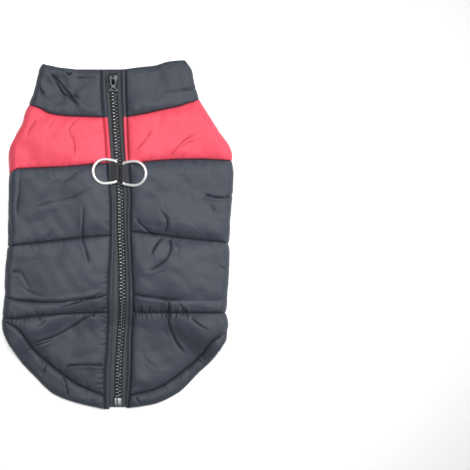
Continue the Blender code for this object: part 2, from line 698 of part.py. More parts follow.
def make_ring(side_name):
    # The bar's corners, the two arms and the half-round bow.
    corner_y = RING_HALF - RING_CORNER
    places = []
    for k in range(5):
        a = math.pi / 2 * k / 4
        places.append((RING_CORNER * (1 - math.cos(a)), corner_y + RING_CORNER * math.sin(a)))
    for k in range(17):
        a = math.pi / 2 - math.pi * k / 16
        places.append((RING_ARM + RING_HALF * math.cos(a), RING_HALF * math.sin(a)))
    for k in range(5):
        a = math.pi / 2 * (1 - k / 4)
        places.append((RING_CORNER * (1 - math.cos(a)), -corner_y - RING_CORNER * math.sin(a)))
    path = [ring_place(side_name, outward, along, 0.0) for outward, along in places]
    normal = (ring_place(side_name, 0.0, 0.0, 1.0) - ring_place(side_name, 0.0, 0.0, 0.0)).normalized()
    radii = [WIRE_RADIUS] * len(path)
    tube_object(f"d_ring_{side_name}", "ring_metal", path, normal, radii, 10)


def make_ring_loop(side_name):
    # Webbing folded round the ring's bar, its two ends sewn on beside the zip.
    ring = RINGS[side_name]
    side = SIDES[side_name]
    level = lift_at(0.0, ring.middle_y)
    bar_z = level + BAR_LEVEL
    eye = WIRE_RADIUS + BAR_CLEARANCE
    end_x = side * zip_x(ring.middle_y) + LOOP_END
    bar_u = side * ring.bar_x
    end_low = level + strip_wall(-0.5) + SEAM_GAP
    arc = [math.radians(90 + 20 * k) for k in range(10)]
    outer = [(bar_u + (eye + WEBBING_THICK) * math.cos(a), bar_z + (eye + WEBBING_THICK) * math.sin(a)) for a in arc]
    inner = [(bar_u + eye * math.cos(a), bar_z + eye * math.sin(a)) for a in arc]
    tip = bar_u + LOOP_TIP
    outer += [(end_x, end_low), (end_x, end_low + 2 * WEBBING_THICK)]
    inner += [(tip, bar_z - LOOP_TIP_HALF), (tip, bar_z + LOOP_TIP_HALF)]
    sections = []
    for along in (-WEBBING_HALF, WEBBING_HALF):
        y = ring.middle_y + along
        sections.append([[Vector((side * u, y, z)) for u, z in line] for line in (outer, inner)])
    shape = bmesh.new()
    rings = [[[shape.verts.new(point * MM) for point in line] for line in section] for section in sections]
    for i in range(len(outer)):
        k = (i + 1) % len(outer)
        for near, far in ((rings[0][0], rings[1][0]), (rings[0][1], rings[1][1]), rings[0], rings[1]):
            shape.faces.new((near[i], near[k], far[k], far[i]))
    add_object(f"ring_loop_{side_name}", "webbing", shape)


def main():
    for item in list(bpy.data.objects):
        bpy.data.objects.remove(item)
    make_collar()
    for side_name in SIDES:
        make_wrapped_panel("yoke", side_name, "red_nylon")
        make_wrapped_panel("back", side_name, "dark_nylon")
        make_wrapped_panel("hem", side_name, "dark_nylon")
        make_shoulder_strip(side_name)
        make_leg_binding(side_name)
        make_ring_loop(side_name)
        make_ring(side_name)
    make_belly_panel()
    make_belly_hem()
    make_zip()
    make_slider()
    make_pull()
    make_zip_block("zip_box", BOX_WIDTHS, BOX_TOP)


main()
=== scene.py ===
# Looks of a dog winter coat that lies flat with its zip side up and its neck towards +Y.
# Tables are in millimetres, as on the pattern pieces; meshes are made in metres.
import math
import time
from collections import namedtuple

import bmesh
import bpy
import numpy as np
from mathutils import Matrix, Vector


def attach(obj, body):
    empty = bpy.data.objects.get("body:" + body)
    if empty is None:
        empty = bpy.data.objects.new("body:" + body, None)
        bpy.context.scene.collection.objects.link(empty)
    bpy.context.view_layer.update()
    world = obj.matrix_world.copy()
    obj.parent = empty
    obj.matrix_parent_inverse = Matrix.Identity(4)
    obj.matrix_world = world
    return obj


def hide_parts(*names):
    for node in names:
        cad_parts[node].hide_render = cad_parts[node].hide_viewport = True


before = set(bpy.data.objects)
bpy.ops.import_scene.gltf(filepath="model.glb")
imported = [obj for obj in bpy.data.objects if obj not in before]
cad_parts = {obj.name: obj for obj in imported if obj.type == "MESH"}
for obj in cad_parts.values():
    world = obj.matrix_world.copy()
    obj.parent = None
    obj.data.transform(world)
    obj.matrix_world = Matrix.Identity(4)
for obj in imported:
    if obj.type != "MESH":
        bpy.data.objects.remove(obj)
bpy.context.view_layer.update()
mm = 0.001
sides = {"left": -1, "right": 1}
print("frame loaded")


# Arithmetic for shapes

class SmoothCurve:
    # Passes through (position, value) pairs without overshooting them, and is level past its ends.
    def __init__(self, pairs):
        self.at, self.value = np.array(sorted(pairs), float).T
        rise = np.diff(self.value) / np.diff(self.at)
        both = np.where(rise[:-1] + rise[1:] == 0, 1, rise[:-1] + rise[1:])
        inner = np.where(rise[:-1] * rise[1:] > 0, 2 * rise[:-1] * rise[1:] / both, 0)
        self.slope = np.concatenate([rise[:1], inner, rise[-1:]])

    def __call__(self, position):
        position = np.clip(position, self.at[0], self.at[-1])
        i = np.clip(np.searchsorted(self.at, position, side="right") - 1, 0, len(self.at) - 2)
        step = self.at[i + 1] - self.at[i]
        t = (position - self.at[i]) / step
        start = self.value[i] * (1 + 2 * t) + self.slope[i] * step * t
        end = self.value[i + 1] * (3 - 2 * t) + self.slope[i + 1] * step * (t - 1)
        return start * (1 - t) ** 2 + end * t * t


def mix(a, b, t):
    return a + (b - a) * t


def smoothStep(t):
    t = np.clip(t, 0, 1)
    return t * t * (3 - 2 * t)


def bell(distance, width):
    return np.exp(-(distance / width) ** 2)


def puff(distance, reach):
    # 0 in a seam, rising like a quarter circle to 1 at its reach.
    return np.sqrt(1 - (1 - np.minimum(np.abs(distance) / reach, 1)) ** 2)


def crowdedSteps(count, crowding):
    # From 0 to 1 in steps that are closer together near both ends.
    t = np.linspace(0, 1, count + 1)
    return t - crowding * np.sin(2 * np.pi * t) / (2 * np.pi)


# The coat's cut, as in the part

coat = {
    "panelGap": 0.02,         # between two panels at their seam, on each side
    "seamGap": 0.3,           # between the pieces of the belly side
    "layerGap": 2.0,          # between the upper and the lower layer
    "seamWall": 4.3,          # thickness where a seam pulls the padding down
    "underGroove": 0.7,       # depth of a groove on the belly side, as a share of one on top
    "hemRest": 40.0,          # length over which the back comes down onto the surface
    "facingRoom": 1.3,
    "sideSeamX": 70.0,
    "collarSplitX": 54.0,
    "rollReach": 8.0,         # how far a free edge is rounded
    "bellyReach": 12.0,
}
outline = {  # half widths at each height
    -1: SmoothCurve([
        (170.75, 76.9), (158.75, 79.9), (146.75, 82.9), (134.75, 86.9), (122.75, 91.9), (110.75, 95.9),
        (98.75, 101.9), (86.75, 106.9), (74.75, 108.4), (56.75, 108.9), (34.75, 108.9), (2.75, 108.9),
        (-21.25, 110.9), (-45.25, 112.9), (-63.25, 113.9), (-78.25, 115.4), (-90.25, 116.4), (-98, 116.2),
    ]),
    1: SmoothCurve([
        (170.75, 74.1), (158.75, 76.1), (146.75, 79.1), (134.75, 83.1), (122.75, 90.1), (110.75, 98.1),
        (98.75, 106.1), (86.75, 113.1), (74.75, 115.6), (56.75, 116.4), (34.75, 115.1), (2.75, 113.1),
        (-21.25, 112.6), (-45.25, 111.4), (-63.25, 110.4), (-78.25, 110.1), (-90.25, 111.6), (-98, 111.7),
    ]),
}
wallAt = SmoothCurve([
    (171, 6), (146, 6.2), (120, 8), (70, 9), (-70, 9), (-115, 8.4), (-175, 8),
])
zipLine = SmoothCurve([
    (162.75, -3.9), (142.75, -3.4), (119.75, -1.9), (96.75, -0.3), (69.75, 1.4), (34.75, 3.3), (4.75, 3.7),
    (-25.25, 4.9), (-55.25, 5.3), (-75.25, 4.9), (-103.25, 3.1), (-133.25, 1.4), (-159.25, 0.9),
    (-173.25, 0.9),
])
# From the zip line to the stitching on each side, and from there to the folded edge
stitchOffset = {
    -1: SmoothCurve([
        (171, 12), (147.8, 12), (123.8, 11.7), (99.8, 11.1), (75.8, 11), (39.8, 9.7), (27.8, 9.4),
        (3.8, 9.9), (-8.3, 10.5), (-32.3, 12.5), (-50.3, 13.6), (-68.3, 14.1), (-86.3, 13.2), (-116.3, 12.7),
        (-140.3, 13.6), (-175, 13.5),
    ]),
    1: SmoothCurve([
        (171, 12.4), (147.8, 12.3), (123.8, 11.9), (99.8, 11.2), (75.8, 10.8), (39.8, 10.9), (15.8, 10.1),
        (-8.3, 9.7), (-32.3, 10), (-56.3, 11.1), (-74.3, 11.3), (-104.3, 11.2), (-128.3, 12.3),
        (-140.3, 12.3), (-164.3, 11), (-175, 10.6),
    ]),
}
stripWidth = {
    -1: SmoothCurve([
        (171, 4.6), (147.8, 4.6), (99.8, 3.9), (75.8, 4.1), (39.8, 3.2), (3.8, 3.4), (-32.3, 4), (-56.3, 4.6),
        (-104.3, 4.1), (-140.3, 5), (-175, 4.8),
    ]),
    1: SmoothCurve([
        (171, 4), (147.8, 4), (99.8, 3.7), (39.8, 3.2), (-32.3, 3), (-68.3, 3.9), (-104.3, 3.5),
        (-140.3, 3.1), (-175, 2.9),
    ]),
}
wrapEdge = SmoothCurve([
    (134, 54), (108, 60), (104, 80), (92, 84), (80, 84), (62, 79), (51.4, 70),
    (-60, 70),
])
bellyEdge = SmoothCurve([
    (134, 41.7), (108, 46.7), (104, 30), (100, 24.5), (88, 23), (75, 25), (66, 32),
    (60, 42), (55, 55), (52, 66), (50, 69.7), (-60, 69.7),
])

# Columns of a seam: 0 at the zip's stitching, 1 and 2 where the side fold starts and ends, 3 at the side seam
# or leg hole, 4 at the middle of the belly. Each seam is level where it crosses that middle.
seamColumns = (0.0, 0.25, 0.5, 0.75, 1.0, 1.5, 2.0, 3.0, 4.0)
seamHeights = {
    "collarTop": ((164.8, 163.8, 165.8, 167.3, 169.8, 171.3, 168, 166, 166),
                  (165.8, 167.8, 169.3, 173.5, 174.6, 168.8, 170, 168, 166)),
    "collarSeam": ((117.3, 117.9, 118.5, 121, 127.7, 130, 130, 134, 138),
                   (117.7, 121, 124.7, 128.2, 132.7, 135.7, 134, 134, 138)),
    "yokeSeam": ((71.7, 70, 68, 67.1, 66.1, 60.7, 60, 61, 61),
                 (71, 73.7, 75.2, 75.7, 74.7, 74, 68, 61, 61)),
    "quiltOne": ((-0.3, -2.3, -5, -7.6, -9.8, -12, -13, -14, -14),
                 (3.3, 1, -2.3, -4.8, -6.6, -8.9, -11, -14, -14)),
    "sagCrease": ((-62, -64, -69.3, -67, -65.6, -63.3, -60, -42, -42),
                  (-60.3, -62, -64, -66, -66, -64, -60, -42, -42)),
    "quiltTwo": ((-77.8, -78.3, -79.3, -81.3, -83.8, -81, -75, -53, -53),
                 (-77.8, -77.8, -77.8, -77.8, -77.8, -77.8, -77, -53, -53)),
    "hemSeam": ((-161.3, -151.3, -134.3, -113.3, -89.3, -84.5, -79, -57, -46.5),
                (-160.9, -155.3, -140.8, -121.3, -102.3, -94, -86, -57, -46.5)),
    "hemEdge": ((-175, -169.6, -160.6, -137.9, -112, -97.5, -91, -70, -58),
                (-173.8, -170.2, -159.3, -136.2, -116.2, -106.8, -99, -70, -58)),
}
# More columns and heights where the hem's edge turns round the side fold
hemTurn = {
    ("hemEdge", -1): [(0.95, -117.2), (1.05, -110.6), (1.1, -109), (1.25, -104)],
    ("hemEdge", 1): [(0.95, -120.2), (1.05, -115.1), (1.1, -113.9), (1.25, -110.5)],
}
seamCurves = {
    (seam, side): SmoothCurve([*zip(seamColumns, heights), *hemTurn.get((seam, side), ()), (5.0, heights[7])])
    for seam, pair in seamHeights.items()
    for side, heights in zip((-1, 1), pair)
}
sewnSeams = ("collarSeam", "yokeSeam", "hemSeam")     # those between two panels
restStart = SmoothCurve([(0.35, -60.0), (1.0, -108.0)])
grooveShare = SmoothCurve([(0.8, 1.0), (1.1, 0.45), (1.5, 0.25), (1.9, 0.45), (2.4, coat["underGroove"])])
reachShare = SmoothCurve([(1.0, 1.0), (2.0, 0.5)])
stripWall = SmoothCurve([
    (-1.0, 1.1), (-0.95, 2.5), (-0.82, 3.8), (-0.62, 4.3), (-0.3, 3.7), (-0.12, 3.2), (0.0, 2.7),
])


def seamHeight(seam, side, column):
    return seamCurves[seam, side](column)


def liftAt(column, y):
    # Height of the upper layer's inner face.
    held = 1 - smoothStep((restStart(column) - y) / coat["hemRest"])
    room = coat["facingRoom"] * (1 - smoothStep(column / 0.2))
    return np.maximum((wallAt(y) + coat["layerGap"]) * held, room)


def foldRadius(column, y):
    return (liftAt(column, y) + wallAt(y)) / 2


def stitchingAt(side, y):
    return side * zipLine(y) + stitchOffset[side](y)


def clothPoint(side, column, y, depth):
    # Places of the wrapped cloth at a depth below its outer face.
    column, y, depth = np.broadcast_arrays(column, y, depth)
    radius = foldRadius(column, y)
    fold = outline[side](y) - radius
    turn = np.pi * np.clip(column - 1, 0, 1)
    reach = np.select(
        [column <= 0, column <= 1, column <= 2, column <= 3],
        [
            stitchingAt(side, y) + stripWidth[side](y) * column,
            mix(stitchingAt(side, y), fold, column),
            fold + (radius - depth) * np.sin(turn),
            mix(fold, wrapEdge(y), column - 2),
        ],
        wrapEdge(y) * (4 - column),
    )
    return stacked(side * reach, y, radius + (radius - depth) * np.cos(turn))


def acrossAt(side, column, y):
    # How far a place is from the coat's middle, measured over the cloth.
    radius = foldRadius(column, y)
    fold = outline[side](y) - radius
    stitching = stitchingAt(side, y)
    onTop = np.where(column <= 0, stitching + stripWidth[side](y) * column, mix(stitching, fold, column))
    under = np.clip(column - 2, 0, 1) * (fold - wrapEdge(y)) + np.clip(column - 3, 0, 1) * wrapEdge(y)
    return np.where(column <= 1, onTop, fold + radius * np.pi * np.clip(column - 1, 0, 1) + under)


# Folds and tucks

# A crease: its path over the cloth as (from the middle, y), the half width of its steep side, its depth, how
# high its lip stands as a share of that, which side the lip is on, and how long its two ends taper.
Crease = namedtuple("Crease", "path width depth lip lipSide ends")


def roundPath(points, steps=6):
    # A smooth path through the points.
    points = np.array(points, float)
    padded = np.vstack([2 * points[0] - points[1], points, 2 * points[-1] - points[-2]])
    t = np.linspace(0, 1, steps, endpoint=False)[:, None]
    spans = [
        0.5 * (2 * b + (c - a) * t + (2 * a - 5 * b + 4 * c - d) * t ** 2 + (3 * b - a - 3 * c + d) * t ** 3)
        for a, b, c, d in zip(padded, padded[1:], padded[2:], padded[3:])
    ]
    return np.vstack(spans + [points[-1:]])


def besidePath(across, along, path):
    # For each place: its signed distance from the path, and how much of the path lies before and after it.
    nearest = np.full(across.shape, 1e9)
    signed = np.zeros(across.shape)
    before = np.zeros(across.shape)
    passed = 0.0
    for start, end in zip(path, path[1:]):
        span = end - start
        length = math.hypot(*span)
        dx, dy = across - start[0], along - start[1]
        t = np.clip((dx * span[0] + dy * span[1]) / length ** 2, 0, 1)
        dx, dy = dx - t * span[0], dy - t * span[1]
        distance = np.hypot(dx, dy)
        closer = distance < nearest
        nearest = np.where(closer, distance, nearest)
        signed = np.where(closer, np.sign(span[0] * dy - span[1] * dx) * distance, signed)
        before = np.where(closer, passed + t * length, before)
        passed += length
    return signed, before, passed - before


def creaseDepths(across, along, creases, lineWidth=0.65):
    # How deep the creases are, and how much shade is painted along the bottom of each.
    total = np.zeros(across.shape)
    creaseShade = np.zeros(across.shape)
    for number, crease in enumerate(creases):
        signed, before, after = besidePath(across, along, roundPath(crease.path))
        signed = signed * crease.lipSide
        width = 0.72 * crease.width
        steep = np.exp(-np.abs(signed / width) ** 1.4)
        soft = np.exp(-np.abs(signed / (2.0 * width)) ** 1.4)
        lip = bell(signed - 2.2 * width, 1.7 * width)
        uneven = 0.85 + 0.15 * np.cos(before * 0.21 + 2.1 * number)
        taper = smoothStep(before / crease.ends[0]) * smoothStep(after / crease.ends[1])
        shown = uneven * taper
        form = np.where(signed > 0, steep, soft) - crease.lip * lip
        form += 0.7 * bell(signed + 0.15, 0.85 * lineWidth)
        total += 0.6 * crease.depth * shown * form
        # Painted shade: a dark line along the bottom of the crease
        creaseShade += min(crease.depth / 1.4, 1.3) * shown * bell(signed + 0.15, lineWidth)
    return total, creaseShade


def ripples(across, along, wavelength, seed):
    # Soft waves of about one length in all directions, mostly between -1 and 1.
    chance = np.random.default_rng(seed)
    total = np.zeros(across.shape)
    for _ in range(12):
        angle = chance.uniform(0, np.pi)
        turns = 2 * np.pi / (wavelength * chance.uniform(0.7, 1.5))
        phase = chance.uniform(0, 2 * np.pi)
        total += np.cos((across * np.cos(angle) + along * np.sin(angle)) * turns + phase)
    return total / 3.5


def gathers(position, distance, start, end, spacing, depth, reach, seed):
    # Short uneven tucks that run out from a line of stitching, on both sides of it.
    chance = np.random.default_rng(seed)
    count = max(round(abs(end - start) / spacing), 1)
    total = 0.0
    for k in range(count):
        place = start + (k + chance.uniform(0.15, 0.85)) * (end - start) / count
        size, lean = chance.uniform(0.35, 1.0), chance.uniform(-0.5, 0.5)
        length, half = reach * chance.uniform(0.5, 1.4), spacing * chance.uniform(0.2, 0.34)
        total = total + size * bell(position - place - lean * distance, half) * bell(distance, length)
    return depth * total * (1 - bell(distance, 0.9))


# Meshes

def addMesh(name, vertices, faces, clothPlace=None, shade=None, sharpAngle=50):
    mesh = bpy.data.meshes.new(name)
    mesh.from_pydata(vertices.tolist(), [], faces if isinstance(faces, list) else faces.tolist())
    mesh.update()
    if clothPlace is not None:
        layer = mesh.uv_layers.new(name="clothPlace")
        corner = np.zeros(len(mesh.loops), int)
        mesh.loops.foreach_get("vertex_index", corner)
        layer.data.foreach_set("uv", clothPlace[corner].astype(np.float32).ravel())
    if shade is not None:
        attribute = mesh.attributes.new("shade", "FLOAT", "POINT")
        attribute.data.foreach_set("value", shade.astype(np.float32).ravel())
    mesh.shade_smooth()
    mesh.set_sharp_from_angle(angle=math.radians(sharpAngle))
    item = bpy.data.objects.new(name, mesh)
    bpy.context.collection.objects.link(item)
    return item


def stacked(*parts):
    # Places from their x, y and z, or from any parts, which may be single values or arrays.
    return np.stack(np.broadcast_arrays(*parts), axis=-1)


def gridFaces(rows, columns, start=0):
    index = start + np.arange(rows * columns).reshape(rows, columns)
    return np.stack([index[:-1, :-1], index[1:, :-1], index[1:, 1:], index[:-1, 1:]], axis=-1).reshape(-1, 4)


def keptSteps(count, thinning):
    # Evenly thinned steps, with both ends kept.
    return np.unique(np.round(np.linspace(0, count - 1, max(round(count / thinning), 2))).astype(int))


laidFlat = {}                 # where each place of a piece of cloth is when it is laid flat


def addWall(name, outer, inner, clothPlace, shade, thinning=1):
    # A closed wall of cloth from grids of its outer and inner face; the inner one may keep fewer points.
    rows, columns = outer.shape[:2]
    keptRows, keptColumns = keptSteps(rows, thinning), keptSteps(columns, thinning)
    kept = np.ix_(keptRows, keptColumns)
    index = np.arange(rows * columns).reshape(rows, columns)
    hidden = rows * columns + np.arange(kept[0].size * kept[1].size).reshape(kept[0].size, -1)
    vertices = np.concatenate([outer.reshape(-1, 3), inner[kept].reshape(-1, 3)]) * mm
    faces = gridFaces(rows, columns).tolist()
    faces += gridFaces(*hidden.shape, rows * columns)[:, ::-1].tolist()
    for fine, coarse, steps in (
        (index[0], hidden[0], keptColumns),
        (index[:, -1], hidden[:, -1], keptRows),
        (index[-1, ::-1], hidden[-1, ::-1], columns - 1 - keptColumns[::-1]),
        (index[::-1, 0], hidden[::-1, 0], rows - 1 - keptRows[::-1]),
    ):
        for k, (start, end) in enumerate(zip(steps, steps[1:])):
            faces.append([*fine[start:end + 1].tolist(), int(coarse[k + 1]), int(coarse[k])])
    normals = np.cross(outer[1:, :-1] - outer[:-1, :-1], outer[:-1, 1:] - outer[:-1, :-1])
    if (normals * (outer - inner)[:-1, :-1]).sum() < 0:
        faces = [face[::-1] for face in faces]
    places = np.concatenate([clothPlace.reshape(-1, 2), clothPlace[kept].reshape(-1, 2)]) * mm
    lining = np.ones(hidden.shape)
    lining[0] = 0
    # Painted shade along the hidden face's edges, where it meets other pieces at seams
    seamShade = np.zeros(hidden.shape)
    seamShade[:, [0, -1]] = 0.6
    item = addMesh(name, vertices, faces, places, np.append(shade, seamShade))
    laidFlat[name] = clothPlace * mm
    attribute = item.data.attributes.new("lining", "FLOAT", "POINT")
    attribute.data.foreach_set("value", np.append(np.zeros(outer.size // 3), lining).astype(np.float32))
    return item


def unit(directions):
    return directions / np.linalg.norm(directions, axis=-1, keepdims=True)


right, forward, up = np.eye(3)


def addTube(name, centres, across, above, wide, high, points=20, power=2, turn=0, closed=False,
            sharpAngle=50):
    # A solid round a line of centres. Its sections are ellipses, with softer corners at a higher power, and a
    # closed one runs back into its first section.
    angle = np.linspace(0, 2 * np.pi, points, endpoint=False) + turn
    c, s = (np.sign(wave) * np.abs(wave) ** (2 / power) for wave in (np.cos(angle), np.sin(angle)))
    centres, across, above = (np.reshape(places, (-1, 1, 3)) for places in (centres, across, above))
    vertices = (centres + across * (wide * c)[..., None] + above * (high * s)[..., None]).reshape(-1, 3) * mm
    index = np.arange(len(vertices)).reshape(-1, points)
    caps = [] if closed else [index[0][::-1].tolist(), index[-1].tolist()]
    if closed:
        index = np.vstack([index, index[:1]])
    after = np.roll(index, -1, axis=1)
    faces = np.stack([index[:-1], after[:-1], after[1:], index[1:]], axis=-1).reshape(-1, 4)
    item = addMesh(name, vertices, faces.tolist() + caps, sharpAngle=sharpAngle)
    shape = bmesh.new()
    shape.from_mesh(item.data)
    bmesh.ops.recalc_face_normals(shape, faces=shape.faces)
    shape.to_mesh(item.data)
    shape.free()
    return item


def finishPiece(item, body, slot, material, *nodes):
    # A piece's look and body, and the CAD nodes that it replaces. Its slot is not used.
    item.data.materials.clear()
    item.data.materials.append(material)
    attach(item, body)
    if nodes:
        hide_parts(*nodes)
    return item


def flatCut(place, band):
    # Width, length and area of a piece laid flat; a band's length runs along its middle.
    first = place[1:, 1:] - place[:-1, :-1]
    second = place[1:, :-1] - place[:-1, 1:]
    area = np.abs(first[..., 0] * second[..., 1] - first[..., 1] * second[..., 0]).sum() / 2
    width, length = np.ptp(place.reshape(-1, 2), axis=0)
    if band:
        along = np.diff(place[:, place.shape[1] // 2], axis=0)
        steps = np.hypot(*along.T)
        across = place[:-1, -1] - place[:-1, 0]
        width = (np.abs(along[:, 0] * across[:, 1] - along[:, 1] * across[:, 0]) / steps).max()
        length = steps.sum()
    return width, length, min(area, width * length)


def finishSheet(item, slot, finish, node, band=False):
    # A piece of cloth with its look; the size it was cut to is worked out but not used.
    finishPiece(item, "coat", slot, finishes[finish], node)
    width, length, area = flatCut(laidFlat[item.name], band)
    return item


# Cloth simulation

simulation = {
    "step": 2.1,              # size of the simulated squares
    "width": 148,             # of the sheet, from the zip's stitching to the side seam
    "length": 350,
    "frames": 22,
    "growth": 0.034,          # how much larger the cloth is cut than the padding under it
    "paddingHold": 0.035,     # how firmly the padding holds the cloth, where 1 is sewn down
    "kept": 0.4,              # share of the movement that the coat shows
    "smoothing": 2,           # rounds of averaging
    "cloth": {
        "quality": 6, "mass": 0.12, "bending_stiffness": 0.5, "bending_damping": 0.8, "air_damping": 3.0,
        "tension_stiffness": 20.0, "compression_stiffness": 20.0, "shear_stiffness": 20.0 / 3,
        "tension_damping": 8.0, "compression_damping": 8.0, "shear_damping": 6.0,
        "use_pressure": True, "uniform_pressure_force": 0.05, "vertex_group_mass": "sewn",
    },
}


def wrinkle(name, points, inside, sewn):
    # Lets cloth that is a little too large for its padding buckle between its seams. The result is how far
    # each point of the grid has moved outwards, in millimetres.
    rows, columns = points.shape[:2]
    faces = gridFaces(rows, columns)
    faces = faces[inside.ravel()[faces].all(axis=1)]
    used = np.unique(faces)
    number = np.full(rows * columns, -1)
    number[used] = np.arange(len(used))
    start = points.reshape(-1, 3)[used]
    sheet = addMesh(name, start * mm, number[faces])
    group = sheet.vertex_groups.new(name="sewn")
    hold = np.maximum(sewn.ravel()[used], simulation["paddingHold"])
    for level in np.unique(np.round(hold, 3)):
        group.add(np.flatnonzero(np.round(hold, 3) == level).tolist(), float(level), "REPLACE")
    modifier = sheet.modifiers.new("cloth", "CLOTH")
    for setting, value in simulation["cloth"].items():
        setattr(modifier.settings, setting, value)
    modifier.settings.shrink_min = -simulation["growth"]
    modifier.settings.effector_weights.gravity = 0.0
    modifier.collision_settings.use_collision = False
    modifier.point_cache.frame_start, modifier.point_cache.frame_end = 1, simulation["frames"]
    scene = bpy.context.scene
    for moment in range(1, simulation["frames"] + 1):
        scene.frame_set(moment)
    evaluated = sheet.evaluated_get(bpy.context.evaluated_depsgraph_get()).data
    ended = np.zeros(len(used) * 3)
    evaluated.vertices.foreach_get("co", ended)
    normals = np.zeros(len(used) * 3)
    sheet.data.vertices.foreach_get("normal", normals)
    moved = np.zeros(rows * columns)
    moved[used] = ((ended.reshape(-1, 3) / mm - start) * normals.reshape(-1, 3)).sum(axis=1)
    bpy.data.objects.remove(sheet)
    scene.frame_set(1)
    print(f"{name}: {len(used)} points moved by up to {np.abs(moved).max():.1f} mm, "
          f"usually {np.sqrt((moved[used] ** 2).mean()):.2f} mm")
    moved = moved.reshape(rows, columns) * simulation["kept"]
    for _ in range(simulation["smoothing"]):
        for axis in (0, 1):
            moved = (np.roll(moved, 1, axis) + 2 * moved + np.roll(moved, -1, axis)) / 4
    return moved


def sampled(grid, u, v):
    # Smooth values between the points of a grid.
    def weights(t):
        return (-0.5 * t + t ** 2 - 0.5 * t ** 3, 1 - 2.5 * t ** 2 + 1.5 * t ** 3,
                0.5 * t + 2 * t ** 2 - 1.5 * t ** 3, -0.5 * t ** 2 + 0.5 * t ** 3)

    padded = np.pad(grid, 2, mode="edge")
    u, v = np.clip(u, 0, grid.shape[0] - 1), np.clip(v, 0, grid.shape[1] - 1)
    i, j = np.floor(u).astype(int), np.floor(v).astype(int)
    wu, wv = weights(u - i), weights(v - j)
    return sum(wu[a] * wv[b] * padded[i + a + 1, j + b + 1] for a in range(4) for b in range(4))


# Finishes

class Signal:
    # A socket's value that takes part in sums, so that a finish reads like a formula.
    def __init__(self, nodes, socket):
        self.nodes, self.socket = nodes, socket

    def math(self, operation, first, second=0.0, clamp=False):
        settings = {"operation": operation, "use_clamp": clamp}
        return self.nodes.add("ShaderNodeMath", settings, i0=first, i1=second)

    def __add__(self, other):
        return self.math("ADD", self, other)

    def __sub__(self, other):
        return self.math("SUBTRACT", self, other)

    def __mul__(self, other):
        return self.math("MULTIPLY", self, other)

    def sine(self):
        return self.math("SINE", self)

    def clamped(self):
        return self.math("ADD", self, 0.0, clamp=True)


class NodeTree:
    # One way to add any node: its inputs are given by name, or by number as i0, i1 and so on.
    def __init__(self, tree):
        self.tree = tree

    def connect(self, socket, value):
        if isinstance(value, Signal):
            self.tree.links.new(value.socket, socket)
        elif socket.type == "RGBA":
            socket.default_value = (*value, 1.0)
        else:
            socket.default_value = value

    def add(self, kind, settings=None, output=0, **values):
        node = self.tree.nodes.new(kind)
        for setting, value in (settings or {}).items():
            setattr(node, setting, value)
        for socket, value in values.items():
            self.connect(node.inputs[int(socket[1:]) if socket[1:].isdigit() else socket.title()], value)
        return Signal(self, node.outputs[output])


class Finish(NodeTree):
    # A material with its Principled shader.
    def __init__(self, name, **constants):
        self.material = bpy.data.materials.new(name)
        self.material.use_nodes = True
        super().__init__(self.material.node_tree)
        self.shader = self.tree.nodes["Principled BSDF"]
        for socket, value in constants.items():
            self.set(socket, value)

    def set(self, socket, value):
        # A socket named in camelCase on the Principled shader: baseColor is Base Color.
        words = "".join(" " + letter if letter.isupper() else letter for letter in socket)
        self.connect(self.shader.inputs[words.title().replace("Ior", "IOR")], value)

    def mixColour(self, amount, first, second):
        return self.add("ShaderNodeMix", {"data_type": "RGBA"}, output=2, i0=amount, i6=first, i7=second)

    def noise(self, place, scale, detail, roughness=0.5):
        return self.add("ShaderNodeTexNoise", vector=place, scale=scale, detail=detail, roughness=roughness)

    def bump(self, height, distance, strength=1.0, normal=None):
        given = {} if normal is None else {"normal": normal}
        return self.add("ShaderNodeBump", height=height, distance=distance, strength=strength, **given)

    def objectPlace(self):
        return self.add("ShaderNodeTexCoord", output=3)

    def clothPlace(self):
        # The place over the cloth, as its two parts in metres.
        place = self.add("ShaderNodeUVMap", {"uv_map": "clothPlace"})
        parts = self.add("ShaderNodeSeparateXYZ", i0=place)
        return parts, Signal(self, parts.socket.node.outputs[1])

    def attribute(self, name):
        return self.add("ShaderNodeAttribute", {"attribute_name": name}, output=2)


nylon = {
    "threads": 0.00045,       # pitch of the weave, in metres
    "threadHeight": 0.00002,
    "crumple": 0.0004,        # height of the small soft creases
    "crumpleScale": 95.0,
    "crinkle": 0.00014,       # height of the finest ones
    "crinkleScale": 330.0,
    "patchScale": 17.0,
    "shadeShare": 0.75,       # how far the painted shade darkens the colour where it is strongest
    "lining": (0.038, 0.045, 0.06),
    # painted shade colour on the lining along its seams
    "liningShade": (0.005, 0.007, 0.012),
}


def nylonFinish(name, colour, shadeColour, paleColour, roughness):
    # Coated nylon: woven threads, soft crumples and paler patches, with shade painted into its folds, seams
    # and tucks, and a plain lining inside.
    finish = Finish(name, roughness=roughness, specularIorLevel=0.4, sheenWeight=0.06, sheenRoughness=0.5)
    place = finish.objectPlace()
    across, along = finish.clothPlace()
    patches = finish.noise(place, nylon["patchScale"], 3.0)
    base = finish.mixColour((patches * 1.6 - 0.3).clamped(), colour, paleColour)
    # Painted shade: the shade attribute darkens the colour towards the shade colour, and on the lining
    # towards a darker lining colour
    shade = finish.attribute("shade").clamped()
    lined = finish.attribute("lining").clamped()
    face = finish.mixColour(lined, base, nylon["lining"])
    line = finish.mixColour(lined, shadeColour, nylon["liningShade"])
    finish.set("baseColor", finish.mixColour(shade * nylon["shadeShare"], face, line))
    turn = 2 * math.pi / nylon["threads"]
    weave = (across * turn).sine() * (along * turn).sine()
    crumple = finish.noise(place, nylon["crumpleScale"], 3.0, 0.55)
    crinkle = finish.noise(place, nylon["crinkleScale"], 2.0)
    soft = finish.bump(crinkle, nylon["crinkle"], normal=finish.bump(crumple, nylon["crumple"]))
    finish.set("normal", finish.bump(weave, nylon["threadHeight"], 0.6, soft))
    return finish.material


